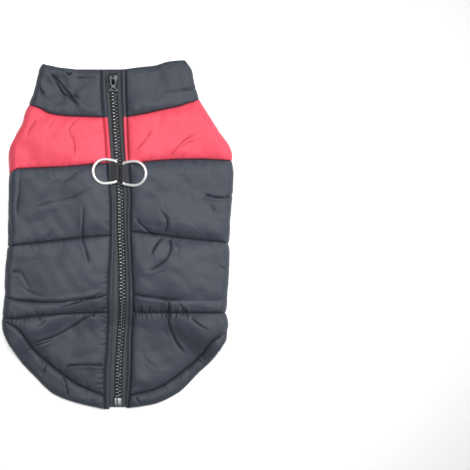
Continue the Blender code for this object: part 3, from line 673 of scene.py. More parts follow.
def ribbedFinish(name, colour, paleColour, pitch, roughness):
    # Woven ribbon: ribs along it, crossed by a finer thread.
    finish = Finish(name, roughness=roughness, sheenWeight=0.1, sheenRoughness=0.6)
    across, along = finish.clothPlace()
    turn = 2 * math.pi / pitch
    ribs = (across * turn).sine()
    threads = (along * turn * 1.3 + ribs * 0.8).sine()
    weave = ribs * 0.5 + threads * 0.5
    mottle = finish.noise(finish.objectPlace(), 260.0, 3.0)
    woven = finish.mixColour((mottle * 0.8 + weave * 0.2).clamped(), colour, paleColour)
    # Painted shade: the shade attribute darkens the weave towards near black
    shade = finish.attribute("shade").clamped()
    finish.set("baseColor", finish.mixColour(shade, woven, (0.006, 0.007, 0.009)))
    finish.set("normal", finish.bump(weave, 0.00012, 0.8))
    return finish.material


def metalFinish(name, colour, roughness, scratch, metallic):
    # Cast metal or moulded plastic that shines a little unevenly.
    finish = Finish(name, baseColor=colour, metallic=metallic)
    wear = finish.noise(finish.objectPlace(), 900.0, 3.0)
    finish.set("roughness", wear * scratch + roughness)
    return finish.material


# Nylon: its colour, the painted shade colour for its folds, seams and tucks, a paler one in patches, and its
# roughness
nylons = {
    "darkNylon": ((0.040, 0.048, 0.068), (0.005, 0.007, 0.012), (0.05, 0.059, 0.081), 0.56),
    "redNylon": ((0.90, 0.075, 0.125), (0.30, 0.004, 0.016), (0.93, 0.09, 0.145), 0.56),
    "binding": ((0.028, 0.031, 0.038), (0.008, 0.009, 0.012), (0.04, 0.044, 0.052), 0.7),
}
# Ribbon: its two colours, the pitch of its ribs in metres, and its roughness
ribbons = {
    "tape": ((0.036, 0.043, 0.05), (0.075, 0.085, 0.095), 0.0011, 0.75),
    "webbing": ((0.018, 0.02, 0.024), (0.04, 0.043, 0.048), 0.0015, 0.7),
}
# Metal: its colour, its roughness, how much that varies, and how metallic it is
metals = {
    "teeth": ((0.25, 0.26, 0.275), 0.24, 0.2, 1.0),
    "zipMetal": ((0.05, 0.054, 0.06), 0.3, 0.2, 1.0),
    "boxMetal": ((0.3, 0.31, 0.32), 0.36, 0.2, 1.0),
    "ringMetal": ((0.98, 0.98, 0.99), 0.26, 0.12, 0.55),
}
threads = {"thread": (0.016, 0.018, 0.024), "redThread": (0.42, 0.015, 0.04)}
finishes = {name: nylonFinish(name, *values) for name, values in nylons.items()}
finishes |= {name: ribbedFinish(name, *values) for name, values in ribbons.items()}
finishes |= {name: metalFinish(name, *values) for name, values in metals.items()}
finishes |= {name: Finish(name, baseColor=colour, roughness=0.6).material for name, colour in threads.items()}
print("finishes made")


# Gathered bindings round the leg holes

binding = {
    "radius": 2.5,
    "inset": 3.15,            # from the rim to the binding's middle
    "height": 6.0,
    "steps": 420,
    "sides": 18,
    "gathers": 64,
    "ruffle": 0.6,
    "rounding": 60,           # rounds of averaging at the corners
    # The rim: heights up the yoke's edge, points over the top, heights down the belly's edge, points below
    "outerHeights": (54, 57, 62, 68, 77, 90.5, 103.5),
    "topPoints": [(74, 104.4), (66, 106), (58, 107.2), (50, 107.2), (42, 105.8), (34, 104)],
    "innerHeights": (101, 96, 88, 80, 74, 68, 63, 59, 56.5),
    "bottomPoints": [(62, 54), (68, 53)],
}


def evenLoop(points, count):
    # The same closed loop with evenly spaced points.
    points = np.vstack([points, points[:1]])
    passed = np.concatenate([[0], np.cumsum(np.linalg.norm(np.diff(points, axis=0), axis=1))])
    at = np.linspace(0, passed[-1], count, endpoint=False)
    return np.stack([np.interp(at, passed, points[:, k]) for k in range(points.shape[1])], axis=-1)


def makeBinding(sideName):
    # A gathered tube along the rim of the leg hole, a little inside it.
    side = sides[sideName]
    rim = [(float(wrapEdge(y)), y) for y in binding["outerHeights"]] + binding["topPoints"]
    rim += [(float(bellyEdge(y)), y) for y in binding["innerHeights"]] + binding["bottomPoints"]
    loop = evenLoop(np.array(rim), binding["steps"])
    for _ in range(binding["rounding"]):
        loop = (np.roll(loop, 1, axis=0) + 2 * loop + np.roll(loop, -1, axis=0)) / 4
    along = unit(np.roll(loop, -1, axis=0) - np.roll(loop, 1, axis=0))
    inward = stacked(-side * along[:, 1], along[:, 0], 0.0)
    chance = np.random.default_rng(11 + side)
    turn = np.linspace(0, 2 * np.pi, binding["steps"], endpoint=False)
    wave = np.cos(turn * binding["gathers"] + 1.6 * np.sin(turn * 5 + chance.uniform(0, 6)))
    wave = 0.6 * wave + 0.4 * np.cos(turn * 37 + 2.2 * np.sin(turn * 3))
    corner = np.linspace(0, 2 * np.pi, binding["sides"], endpoint=False)
    swell = wave[:, None] * (1 + 0.5 * np.cos(corner + 3 * turn[:, None])) / 1.5
    radius = binding["radius"] + binding["ruffle"] * swell
    centres = stacked(side * loop[:, 0], loop[:, 1], binding["height"]) + binding["inset"] * inward
    name = f"legBinding.{sideName}"
    return addTube(name, centres, inward, up, radius, radius, binding["sides"], closed=True)


for sideName in sides:
    finishPiece(makeBinding(sideName), "coat", "binding", finishes["binding"], f"leg_binding_{sideName}")
print("leg bindings made")


# Padded panels that wrap round the sides

# A panel: its bands between two seams with their rows, how far each seam pulls it in, how far from a seam it
# is full, whether it has a side seam, and the seed of its unevenness
Panel = namedtuple("Panel", "bands grooves reach sideSeam seed")
panels = {
    "collar": Panel([("collarTop", "collarSeam", 64)], {"collarSeam": 1}, 11, False, 3),
    "yoke": Panel([("collarSeam", "yokeSeam", 76)], {"collarSeam": 1, "yokeSeam": 1}, 15, True, 5),
    "back": Panel(
        [("yokeSeam", "quiltOne", 104), ("quiltOne", "quiltTwo", 112), ("quiltTwo", "hemSeam", 104)],
        {"yokeSeam": 1, "quiltOne": 1, "sagCrease": 0.4, "quiltTwo": 1, "hemSeam": 1},
        16,
        True,
        7,
    ),
    "hem": Panel([("hemSeam", "hemEdge", 26)], {"hemSeam": 1}, 8, True, 9),
}
rolledEdge = {"collar": "collarTop", "hem": "hemEdge"}
clothLook = {
    "stripColumns": 10,
    "topColumns": 150,
    "foldColumns": 26,
    "underColumns": 24,
    "collarUnderColumns": 26,
    "thinning": 3,            # how much coarser the hidden face of a panel is
    "stitchGroove": 1.2,      # how far a row of stitching is pulled in
    "stitchWidth": 0.85,
    "broadWave": 0.7,         # height of the slow unevenness of the padding, and its length
    "broadLength": 62.0,
    "softCrease": 0.4,
    "softLength": 44.0,
    "smallWave": 0.16,
    "smallLength": 15.0,
    "leastWall": 1.2,
    "rollOuter": 0.52,        # how far each face of a free edge turns in, as a share of its thickness
    "rollInner": 0.4,
}
creases = {
    ("collar", -1): [
        Crease(((66.9, 161.8), (57, 152), (48, 141), (36.9, 132.8)), 2.4, 3.4, 0.6, 1, (6, 14)),
        Crease(((62.9, 157.8), (53.9, 141.8), (47.9, 138.8), (36.9, 127.8)), 2, 3.2, 0.5, -1, (6, 8)),
        Crease(((45.9, 142.8), (35.9, 134.8)), 1.6, 2.2, 0.5, 1, (5, 7)),
        Crease(((42, 156.8), (30, 157.4), (18.9, 156.8)), 1.1, 0.9, 0.4, -1, (5, 8)),
        Crease(((78.9, 149.8), (76, 144.5), (69.9, 136.8)), 1.8, 2.3, 0.5, -1, (4, 9)),
        Crease(((52, 164), (48.4, 160.4), (44, 163)), 1.5, 2, 0.4, 1, (4, 4)),
    ],
    ("collar", 1): [
        Crease(((41.1, 141.8), (60, 144.4), (79.1, 145.8), (92, 148)), 2.2, 1, 0.4, -1, (16, 10)),
        Crease(((84, 153), (76, 147.5), (66, 145)), 1.6, 1, 0.5, 1, (5, 9)),
    ],
    ("yoke", -1): [
        Crease(((38.9, 117), (46.9, 104.8), (41.9, 89.8), (43.4, 72.8)), 2.4, 1.2, 0.5, 1, (8, 12)),
        Crease(((59.9, 117.8), (65, 111), (70.9, 102.8)), 2.2, 0.9, 0.5, 1, (7, 10)),
        Crease(((78, 118), (86, 106), (91, 94)), 2.8, 0.8, 0.5, -1, (8, 10)),
    ],
    ("yoke", 1): [
        Crease(((38.1, 107.8), (33, 101), (28.1, 93.8), (16.1, 81.8)), 1.9, 1.1, 0.5, 1, (10, 12)),
        Crease(((83.1, 103), (67.1, 93.8), (54.1, 78.8), (52.6, 74)), 1.9, 1.2, 0.5, 1, (10, 8)),
        Crease(((79, 94.5), (70, 91), (60, 84)), 1.8, 0.8, 0.5, -1, (8, 8)),
    ],
    ("back", -1): [
        Crease(((33.9, 32), (33.6, 14), (33.9, -4), (30.8, -15), (26.9, -32.2)), 1.5, 1.9, 0.5, 1, (14, 12)),
        Crease(((91.2, 25.5), (66, 33), (44.9, 37), (22, 49)), 3.4, 1.2, 0.6, 1, (16, 14)),
        Crease(((60, 47), (46, 57), (36, 66)), 3, 0.9, 0.5, 1, (12, 8)),
        Crease(((96, 60), (97.3, 42), (99, 26), (97, 12)), 2.6, 1.6, 0.7, 1, (14, 14)),
        Crease(((62, 12), (66, 2), (70, -5)), 2.2, 0.9, 0.5, 1, (9, 4)),
        Crease(((110, -36.7), (97, -37), (91, -46), (85, -56)), 2.2, 1.4, 0.6, 1, (8, 10)),
        Crease(((118, -59), (104, -64.4), (84, -66.6), (59.8, -67.4), (34, -64.5), (9, -61)),
               1.9, 2.3, 0.4, -1, (10, 8)),
        Crease(((57, -73.4), (44, -69.5), (31, -64.8), (12, -56.5)), 1.6, 1.4, 0.5, -1, (8, 9)),
        Crease(((97, -50), (84, -58.5), (70, -63)), 2.4, 0.9, 0.5, 1, (10, 10)),
        Crease(((17, -75), (33, -84), (56, -98.8), (72, -105), (88, -109.5)), 1.5, 1.9, 0.5, 1, (8, 6)),
        Crease(((60, -104.6), (72, -108.5), (86, -113)), 1.3, 1.2, 0.4, -1, (10, 6)),
        Crease(((53.9, -133.6), (47, -131), (30, -130.4), (12.5, -131.3)), 1.3, 1.9, 0.5, 1, (6, 5)),
        Crease(((70, -84.5), (76, -90.5), (80, -95)), 1.4, 1, 0.4, 1, (3, 6)),
        Crease(((34, -74), (26, -79), (20, -84)), 1.6, 1.1, 0.5, 1, (5, 5)),
    ],
    ("back", 1): [
        Crease(((17, 18), (25, 9.5), (34.6, 1), (42, -0.5)), 1.5, 2.1, 0.5, -1, (8, 5)),
        Crease(((41, 27), (49.5, 16.5), (50.3, 8), (47.1, -0.3)), 2.1, 1.5, 0.6, 1, (12, 5)),
        Crease(((46, -3), (41, -8), (36.1, -16.3), (33, -22)), 1.6, 1.9, 0.5, 1, (3, 8)),
        Crease(((52, -3), (54, -12), (49.6, -24), (38, -33), (25, -37.3)), 2, 1.9, 0.6, 1, (4, 14)),
        Crease(((57, -4.5), (62, -13), (60, -24)), 2.2, 1.1, 0.5, -1, (4, 10)),
        Crease(((84, 41), (90, 39.3), (103.1, 37), (120, 38.8), (130, 41)), 1.3, 2, 0.5, -1, (8, 8)),
        Crease(((93, 31), (97, 24.5), (104, 22)), 2.6, 1, 0.5, 1, (6, 8)),
        Crease(((70, 46), (76, 36), (79, 22)), 3.2, 0.7, 0.5, 1, (12, 14)),
        Crease(((13, -57.5), (22, -60.3), (45, -63.4), (74.5, -66.6)), 1.9, 2.3, 0.4, -1, (5, 22)),
        Crease(((40, -63), (50.9, -66), (52, -76), (51.5, -88), (58.7, -107), (69.5, -121)),
               1.6, 1.7, 0.5, 1, (10, 10)),
        Crease(((62, -67.5), (66.5, -73.5), (70.6, -79)), 1.4, 1.7, 0.5, 1, (5, 3)),
        Crease(((73.1, -81.3), (80, -88), (92.1, -96.3)), 1.6, 1.3, 0.5, 1, (5, 9)),
        Crease(((24, -112), (30, -126), (44, -136)), 3.4, 0.8, 0.5, 1, (14, 12)),
        Crease(((100, -30), (110, -34), (122, -33)), 2.2, 1, 0.5, 1, (8, 8)),
    ],
    ("hem", -1): [
        Crease(((80, -108.5), (86, -112.5), (93.5, -120.5)), 1.2, 1.5, 0.5, 1, (4, 4)),
        Crease(((69.5, -127), (73, -136), (76.5, -141)), 1.2, 1.5, 0.5, -1, (4, 4)),
        Crease(((74, -124), (77.5, -132)), 1.1, 1.1, 0.5, 1, (3, 4)),
        Crease(((53.5, -141.5), (51.6, -148), (49.4, -163)), 1.3, 1.9, 0.6, 1, (3, 4)),
    ],
    ("hem", 1): [
        Crease(((18, -161.5), (22, -167), (27, -172)), 1.1, 1.2, 0.5, 1, (3, 4)),
        Crease(((46, -148), (51, -157)), 1.2, 0.9, 0.5, 1, (3, 4)),
        Crease(((79, -123), (86, -130)), 1.2, 0.9, 0.5, 1, (3, 4)),
    ],
}
# Rows of tucks: along which seam, from and to which place across, their spacing, depth and reach
seamTucks = {
    ("collar", -1): [("collarSeam", 12, 130, 9, 0.45, 5), ("collarTop", 12, 150, 12, 0.5, 6)],
    ("collar", 1): [("collarSeam", 12, 130, 10, 0.35, 5), ("collarTop", 12, 150, 13, 0.4, 6)],
    ("yoke", -1): [("collarSeam", 12, 130, 9, 0.4, 5), ("yokeSeam", 12, 140, 8, 0.55, 5.5)],
    ("yoke", 1): [("collarSeam", 12, 130, 10, 0.4, 5), ("yokeSeam", 12, 140, 9, 0.5, 5.5)],
    ("back", -1): [
        ("yokeSeam", 12, 140, 8, 0.55, 7),
        ("quiltOne", 12, 140, 6.5, 0.6, 5),
        ("quiltTwo", 12, 130, 3.5, 1.3, 3.2),
        ("hemSeam", 12, 140, 7, 0.6, 6),
    ],
    ("back", 1): [
        ("yokeSeam", 12, 140, 9, 0.55, 7),
        ("quiltOne", 12, 140, 7.5, 0.55, 5),
        ("quiltTwo", 12, 72, 3.3, 1.5, 5),
        ("quiltTwo", 70, 140, 7, 0.6, 5),
        ("hemSeam", 12, 140, 8, 0.5, 6),
    ],
    ("hem", -1): [("hemSeam", 12, 150, 5.5, 0.6, 4.5)],
    ("hem", 1): [("hemSeam", 12, 150, 5.5, 0.55, 4.5)],
}
# Rows of tucks beside the seam on the belly side and the leg hole: from and to which y, spacing, depth, reach
sideTucks = {"yoke": (138, 72, 6, 1.5, 13), "back": (70, -125, 8, 0.8, 8)}
# Rows of tucks beside the zip: from and to which y, their spacing, depth and reach
zipTucks = {
    -1: [(160, 75, 9, 0.4, 5), (70, -30, 6, 0.6, 4.5), (-32, -160, 3.9, 1.4, 5)],
    1: [(160, 75, 9, 0.3, 5), (70, -30, 8, 0.35, 5), (-30, -160, 6.5, 0.45, 5)],
}


def zipDistance(side, column, y):
    return np.where(column <= 1, acrossAt(side, column, y) - stitchingAt(side, y), 1e3)


def sideSeamDistance(side, column, y):
    fold = outline[side](y) - foldRadius(column, y)
    return np.where(column >= 2, (3 - column) * (fold - wrapEdge(y)), 1e3)


def panelTucks(name, side, column, y, seed):
    # Short tucks along a panel's seams, beside the zip and beside its side seam.
    across = acrossAt(side, column, y)
    rows = [(across, y - seamHeight(seam, side, column), *sizes) for seam, *sizes in seamTucks[name, side]]
    rows += [(y, zipDistance(side, column, y), *sizes) for sizes in zipTucks[side]]
    if name in sideTucks:
        rows.append((y, sideSeamDistance(side, column, y), *sideTucks[name]))
    return sum(gathers(*row, seed * 10 + number) for number, row in enumerate(rows, 1))


def panelDepths(name, side, column, y, swelling=0.0):
    # Depths of the outer and inner face, and the shade painted at each place along seams, in tucks and in
    # creases.
    panel = panels[name]
    wall = wallAt(y)
    across = acrossAt(side, column, y)
    # Seams and the zip's stitching pull the padding in, and shade is painted along them
    reach = panel.reach * reachShare(column)
    fromZip = zipDistance(side, column, y)
    fullness = puff(fromZip, reach)
    shade = 1.2 * bell(fromZip, 1.0 if side < 0 else 1.25)
    if panel.sideSeam:
        fromSide = sideSeamDistance(side, column, y)
        fullness = fullness * puff(fromSide, reach)
        shade = shade + 0.9 * bell(fromSide, 1.0)
    relief = clothLook["stitchGroove"] * bell(fromZip, clothLook["stitchWidth"])
    for seam, strength in panel.grooves.items():
        fromSeam = y - seamHeight(seam, side, column)
        fullness = fullness * (1 - strength * (1 - puff(fromSeam, reach)))
        if strength == 1:
            run = np.maximum(np.gradient(across, axis=0), 0.2)
            square = fromSeam / np.hypot(1, np.gradient(seamHeight(seam, side, column), axis=0) / run)
            groove = clothLook["stitchGroove"] * (1.0 if seam.startswith("quilt") else 0.4)
            relief = relief + groove * bell(square, clothLook["stitchWidth"])
            shade = shade + bell(square, 0.65)
    outer = (wall - coat["seamWall"]) * grooveShare(column) * (1 - fullness)
    seamless = smoothStep(fromZip / 1.5) * smoothStep((3 - column) / 0.08 if panel.sideSeam else 1.0)
    inner = wall + np.zeros_like(outer)
    # Tucks, creases and the unevenness of the padding
    seed = panel.seed + 20 * (side > 0)
    tucks = panelTucks(name, side, column, y, seed)
    folded, creaseShade = creaseDepths(across, y, creases[name, side])
    free = fullness * smoothStep((4 - column) / 0.4)
    ridges = np.abs(ripples(across, y, clothLook["softLength"], seed + 1)) ** 0.7
    waves = clothLook["broadWave"] * ripples(across, y, clothLook["broadLength"], seed)
    waves += clothLook["softCrease"] * (0.5 - ridges)
    waves += clothLook["smallWave"] * ripples(across, y, clothLook["smallLength"], seed + 2)
    relief = relief + tucks + folded + waves * free - swelling * seamless
    onTop = 1 - smoothStep((column - 1.2) / 0.6)
    outer = outer + np.where(relief < 0, relief * onTop, relief)
    outer = np.where(column < 0, wall - stripWall(column), outer)
    # A free edge is rolled
    if name in rolledEdge:
        roll = 1 - puff(y - seamHeight(rolledEdge[name], side, column), coat["rollReach"])
        thick = inner - outer
        outer = outer + clothLook["rollOuter"] * thick * roll
        inner = inner - clothLook["rollInner"] * thick * roll
    outer = np.minimum(outer, inner - np.where(column < 0, 0.6, clothLook["leastWall"]))
    # Painted shade in tucks and creases, on top of that along the seams; on the strip it is painted along its
    # stitching
    shade = np.clip(shade + 0.8 * np.clip(tucks - 0.1, 0, 2) + 0.1 * np.clip(folded, 0, 2) + creaseShade, 0, 1)
    return outer, inner, np.where(column < 0, 1.1 * bell(stripWidth[side](y) * column, 0.7), shade)


def wrappedGrid(name, side, columns):
    # Outer face, inner face, place over the cloth and shade for one side of a panel.
    column = columns[:, None]
    heights = []
    for upper, lower, rows in panels[name].bands:
        top = seamHeight(upper, side, column) - coat["panelGap"] * (upper in sewnSeams)
        bottom = seamHeight(lower, side, column) + coat["panelGap"] * (lower in sewnSeams)
        t = crowdedSteps(rows, 0.35)
        heights.append(mix(top, bottom, t[1:] if heights else t))
    y = np.concatenate(heights, axis=1)
    column = np.broadcast_to(column, y.shape)
    swelling = sampled(swellings[side], *simulatedPlace(column, y))
    outer, inner, shade = panelDepths(name, side, column, y, swelling)
    place = stacked(side * acrossAt(side, column, y), y)
    return clothPoint(side, column, y, outer), clothPoint(side, column, y, inner), place, shade


simulatedTop = simulation["length"] / 2
acrossCount, downCount = (round(simulation[size] / simulation["step"]) + 1 for size in ("width", "length"))
simulatedColumns = np.linspace(0, 3, acrossCount)
simulatedHeights = np.linspace(simulatedTop, -simulatedTop, downCount)


def simulatedPlace(column, y):
    # Where a place of the cloth is on the simulated grid.
    down = (simulatedTop - y) / simulation["length"]
    return column / 3 * (acrossCount - 1), down * (downCount - 1)


def simulateSide(side):
    # The whole wrapped side as one sheet, sewn down along its seams.
    column, y = np.meshgrid(simulatedColumns, simulatedHeights, indexing="ij")
    belowCollar = y < seamHeight("collarSeam", side, column)
    belowYoke = y < seamHeight("yokeSeam", side, column)
    belowBack = y < seamHeight("hemSeam", side, column)
    depths = {name: panelDepths(name, side, column, y)[0] for name in panels}
    depth = np.select([belowBack, belowYoke, belowCollar], [depths["hem"], depths["back"], depths["yoke"]],
                      depths["collar"])
    top, bottom = seamHeight("collarTop", side, column), seamHeight("hemEdge", side, column)
    inside = (y < top + simulation["step"]) & (y > bottom - simulation["step"])
    sewn = np.zeros(y.shape)
    for seam in ("collarSeam", "yokeSeam", "quiltOne", "quiltTwo", "hemSeam"):
        sewn = np.maximum(sewn, np.abs(y - seamHeight(seam, side, column)) < 0.55 * simulation["step"])
    sewn = np.maximum(sewn, (column == 0) | (column == 3))
    sewn = np.maximum(sewn, (y > top - 2) | (y < bottom + 2))
    return wrinkle("simulatedCloth", clothPoint(side, column, y, depth), inside, sewn)


started = time.perf_counter()
swellings = {side: simulateSide(side) for side in (-1, 1)}
print(f"cloth simulated in {time.perf_counter() - started:.0f} s")

stripSteps = np.linspace(-1, 0, clothLook["stripColumns"], endpoint=False)
topSteps = crowdedSteps(clothLook["topColumns"], 0.35)
foldSteps = 1 + np.linspace(0, 1, clothLook["foldColumns"] + 1)[1:]
underSteps = 2 + crowdedSteps(clothLook["underColumns"], 0.4)[1:]
wrapSteps = np.concatenate([stripSteps, topSteps, foldSteps, underSteps])

for name in ("yoke", "back", "hem"):
    colour = "red" if name == "yoke" else "dark"
    for sideName, side in sides.items():
        item = addWall(f"{name}Cloth.{sideName}", *wrappedGrid(name, side, wrapSteps), clothLook["thinning"])
        finishSheet(item, f"{colour}_nylon", f"{colour}Nylon", f"{name}_{sideName}",
                    band=name == "hem")

collarSteps = np.concatenate([wrapSteps, 3 + np.linspace(0, 1, clothLook["collarUnderColumns"] + 1)[1:]])
leftHalf = wrappedGrid("collar", -1, collarSteps)
rightHalf = wrappedGrid("collar", 1, collarSteps)
rightHalf[2][..., 0] -= rightHalf[2][-1, :, 0] - leftHalf[2][-1, :, 0]
collarGrid = [np.concatenate([a, b[-2::-1]]) for a, b in zip(leftHalf, rightHalf)]
finishSheet(addWall("collarCloth", *collarGrid, clothLook["thinning"]), "dark_nylon", "darkNylon", "collar",
            band=True)
print("upper panels made")


# Belly side

belly = {
    "rows": 170,
    "columns": 190,
    "top": 140.0,
    "bottom": -60.0,
    "stripEnds": (108.0, 140.0),
    "stripWidthSteps": 20,
    "stripRows": 36,
    "stripFill": 0.4,
    "hemSteps": 240,
    "hemRows": 14,
    "hemReach": 8.0,
    "hemPleats": 12,
    "hemPleatDepth": 1.0,
    "hemTakeUp": 0.1,
}
bellyCreases = [
    Crease(((-34, 96), (-24, 66), (-10, 34), (4, -9)), 4.2, 3.6, 0.3, 1, (24, 12)),
    Crease(((26, 104), (22, 66), (12, 24), (7, -6)), 3.8, 3.2, 0.3, -1, (22, 12)),
    Crease(((-58, 50), (-38, 38), (-20, 12), (-12, -6)), 3.8, 3.2, 0.3, 1, (16, 12)),
    Crease(((-8, 118), (-4, 96), (2, 70)), 3.4, 2.4, 0.3, 1, (14, 16)),
    Crease(((62, 44), (46, 30), (30, 8), (24, -6)), 3.4, 2.8, 0.3, -1, (14, 10)),
    Crease(((-64, 22), (-48, 10), (-38, -8)), 3, 2.2, 0.3, 1, (10, 10)),
    Crease(((40, 76), (30, 52), (22, 34)), 3.2, 2.4, 0.3, 1, (12, 14)),
    Crease(((20, -20), (30, -32), (34, -46)), 2.6, 2.2, 0.3, 1, (6, 8)),
    Crease(((-40, -18), (-34, -32), (-38, -48)), 2.6, 2, 0.3, 1, (6, 8)),
    Crease(((-6, -18), (-14, -30), (-12, -44)), 2.4, 1.8, 0.3, -1, (6, 8)),
    Crease(((-24, 120), (0, 112), (26, 119)), 3, 1.8, 0.3, 1, (10, 10)),
]


def bySide(x, compute):
    return np.where(x < 0, compute(-1), compute(1))


def bellyLimits(x):
    # The belly panel's lower and upper seam at a place across it.
    gap = coat["seamGap"] / 2
    hemColumn = 4 - np.minimum(np.abs(x) / coat["sideSeamX"], 1)
    collarColumn = 4 - np.minimum(np.abs(x) / coat["collarSplitX"], 1)
    lower = bySide(x, lambda side: seamHeight("hemSeam", side, hemColumn))
    upper = bySide(x, lambda side: seamHeight("collarSeam", side, collarColumn))
    return lower + gap, upper - gap


def underDepths(x, y, fullness, folded, seed):
    # Depths of the outer and inner face on the belly side.
    wall = wallAt(y)
    outer = (wall - coat["seamWall"]) * coat["underGroove"] * (1 - fullness)
    waves = clothLook["broadWave"] * (0.8 + ripples(x, y, clothLook["softLength"], seed))
    waves += clothLook["softCrease"] * (0.7 - np.abs(ripples(x, y, clothLook["softLength"], seed + 1)) ** 0.7)
    outer = np.maximum(outer + waves * fullness * 0.6 + folded, 0)
    return np.minimum(outer, wall - clothLook["leastWall"]), wall + np.zeros_like(outer)


def makeBellyPanel():
    # Between the side seams, and narrower between the leg holes. Its rows bend to follow both end seams.
    edgeY = mix(belly["bottom"], belly["top"], np.linspace(0, 1, belly["rows"] + 1))[:, None]
    half = bellyEdge(edgeY)
    x = (2 * crowdedSteps(belly["columns"], 0.1) - 1) * half
    edgeLower, edgeUpper = bellyLimits(np.copysign(half, x))
    t = np.clip((edgeY - edgeLower) / (edgeUpper - edgeLower), 0, 1)
    lower, upper = bellyLimits(x)
    y = mix(lower, upper, t)
    quilt = seamHeights["quiltOne"][0][-1]
    fromEdge = half - np.abs(x)
    fullness = puff(fromEdge, coat["bellyReach"])
    folded = gathers(edgeY, fromEdge, -50, 130, 7.0, 0.8, 6.0, 71)
    # Painted shade along its edges and seams, and in its tucks and creases
    shade = 0.8 * bell(fromEdge, 1.2)
    for seed, seam, spacing, depth in ((72, lower, 5.0, 0.9), (73, upper, 8.0, 0.6), (74, quilt, 7.0, 0.8)):
        fullness = fullness * puff(y - seam, coat["bellyReach"])
        folded = folded + gathers(x, y - seam, -70, 70, spacing, depth, 6.0, seed)
        folded = folded + clothLook["stitchGroove"] * bell(y - seam, clothLook["stitchWidth"])
        shade = shade + 0.9 * bell(y - seam, 1.2)
    creased, creaseShade = creaseDepths(x, y, bellyCreases, 1.7)
    outer, inner = underDepths(x, y, fullness, folded + creased, 75)
    shade = np.clip(shade + 0.3 * np.clip(folded + creased - 0.7, 0, 2) + 0.7 * creaseShade, 0, 1)
    return addWall("bellyCloth", stacked(x, y, outer), stacked(x, y, inner), stacked(x, y), shade)


def makeBellyHem():
    # The elastic casing between the side seams, with soft pleats and finer gathers across it.
    half = coat["sideSeamX"] - coat["seamGap"]
    x = mix(-half, half, np.linspace(0, 1, belly["hemSteps"] + 1))[:, None]
    column = 4 - np.minimum(np.abs(x) / coat["sideSeamX"], 1)
    upper = bellyLimits(x)[0] - coat["seamGap"]
    lower = bySide(x, lambda side: seamHeight("hemEdge", side, column))
    y = mix(upper, lower, crowdedSteps(belly["hemRows"], 0.5))
    x = np.broadcast_to(x, y.shape)
    wall = wallAt(y)
    fullness = puff(y - upper, belly["hemReach"])
    outer = (wall - coat["seamWall"]) * coat["underGroove"] * (1 - fullness)
    turns = (x + half) / (2 * half) * belly["hemPleats"] * 2 * np.pi
    lean = 0.35 * (y - lower)
    pleats = belly["hemPleatDepth"] * (0.5 - 0.5 * np.cos(turns + lean))
    fine = gathers(x, y - upper, -70, 70, 3.6, 0.9, 7.0, 81)
    fine = fine + gathers(x, y - lower, -70, 70, 4.2, 0.6, 5.0, 82)
    free = puff(half - np.abs(x), coat["bellyReach"]) * puff(y - lower, belly["hemReach"])
    outer = outer + (pleats + fine) * free
    roll = 1 - puff(y - lower, coat["rollReach"])
    thick = wall - outer
    inner = wall - clothLook["rollInner"] * thick * roll
    outer = np.minimum(outer + clothLook["rollOuter"] * thick * roll, inner - clothLook["leastWall"] * 0.3)
    # Painted shade in the gathers and pleats and along the upper seam
    shade = np.clip(0.5 * fine + 0.25 * pleats + 0.8 * bell(y - upper, 1.2), 0, 1)
    return addWall("hemCloth.belly", stacked(x, y, outer), stacked(x, y, inner), stacked(x, y), shade)


def makeShoulderStrip(sideName):
    # The narrow strip that joins the belly panel and the yoke above a leg hole.
    side = sides[sideName]
    low, high = belly["stripEnds"]
    edgeY = mix(low, high, np.linspace(0, 1, belly["stripRows"] + 1))[:, None]
    near = bellyEdge(edgeY) + coat["seamGap"]
    far = wrapEdge(edgeY) - coat["seamGap"]
    x = mix(near, far, crowdedSteps(belly["stripWidthSteps"], 0.4))
    column = 4 - np.minimum(x / coat["collarSplitX"], 1)
    top = seamHeight("collarSeam", side, column) - coat["seamGap"] / 2
    y = mix(low, top, (edgeY - low) / (high - low))
    fromEdge = np.minimum(x - near, far - x)
    folded = gathers(y, fromEdge, low, high - 2, 4.5, 0.7, 3.5, 91 + side)
    outer, inner = underDepths(x, y, puff(fromEdge, 6.5), folded, 93)
    # Painted shade in the tucks and along both edges
    shade = np.clip(0.6 * folded + 0.8 * bell(fromEdge, 1.0), 0, 1)
    grids = stacked(side * x, y, outer), stacked(side * x, y, inner), stacked(side * x, y)
    return addWall(f"shoulderCloth.{sideName}", *grids, shade)


finishSheet(makeBellyPanel(), "dark_nylon", "darkNylon", "belly_panel")
finishSheet(makeBellyHem(), "dark_nylon", "darkNylon", "hem_belly",
            band=True)
for sideName in sides:
    strip = makeShoulderStrip(sideName)
    finishPiece(strip, "coat", "dark_nylon", finishes["darkNylon"], f"shoulder_strip_{sideName}")
print("belly side made")


# Zip

zipper = {
    "tapeEnds": (162.0, -173.0),
    "tapeLevel": (0.6, 1.4),      # above the upper layer's inner face
    "tapeInner": 0.1,
    "tapeOuter": 10.4,            # under the folded edges of the cloth
    "tapeSwell": 0.15,
    "ribbonStep": 2.0,
    "facingEnds": (160.0, -157.0),
    "facingHalf": 11.0,
    "facingLevel": (-1.3, -0.3),
    "chainEnds": (150.7, -162.7),
    "chainLevel": 1.55,
    "chainFoot": 0.8,             # from its lower end to the first tooth
    "chainSpare": 3.0,            # of its length that the teeth leave free
    "pitch": 3.3,
    "toothFoot": -1.0,
    "toothFlat": 1 / 1.08,        # from a section's middle to its flat sides, as a share of its half width
    "tooth": [                    # from the chain's middle, half width, height
        (3.1, 0.4, -0.1), (2.9, 0.72, 0.5), (2.3, 0.8, 1.0), (1.4, 0.78, 1.05), (0.75, 0.6, 0.6),
        (0.2, 0.78, 0.25), (-0.35, 0.75, 0.15), (-0.6, 0.4, -0.2),
    ],
    "plateLevel": 1.7,
    "sliderTop": 3.6,
    "sliderWidths": [(161.0, 3.3), (159.8, 4.4), (156.0, 4.7), (152.2, 4.2), (151.0, 3.3)],
    "lowWidths": [(161.0, 2.6), (156.0, 2.8), (151.0, 2.6)],
    "pullAxisY": 155.2,
}


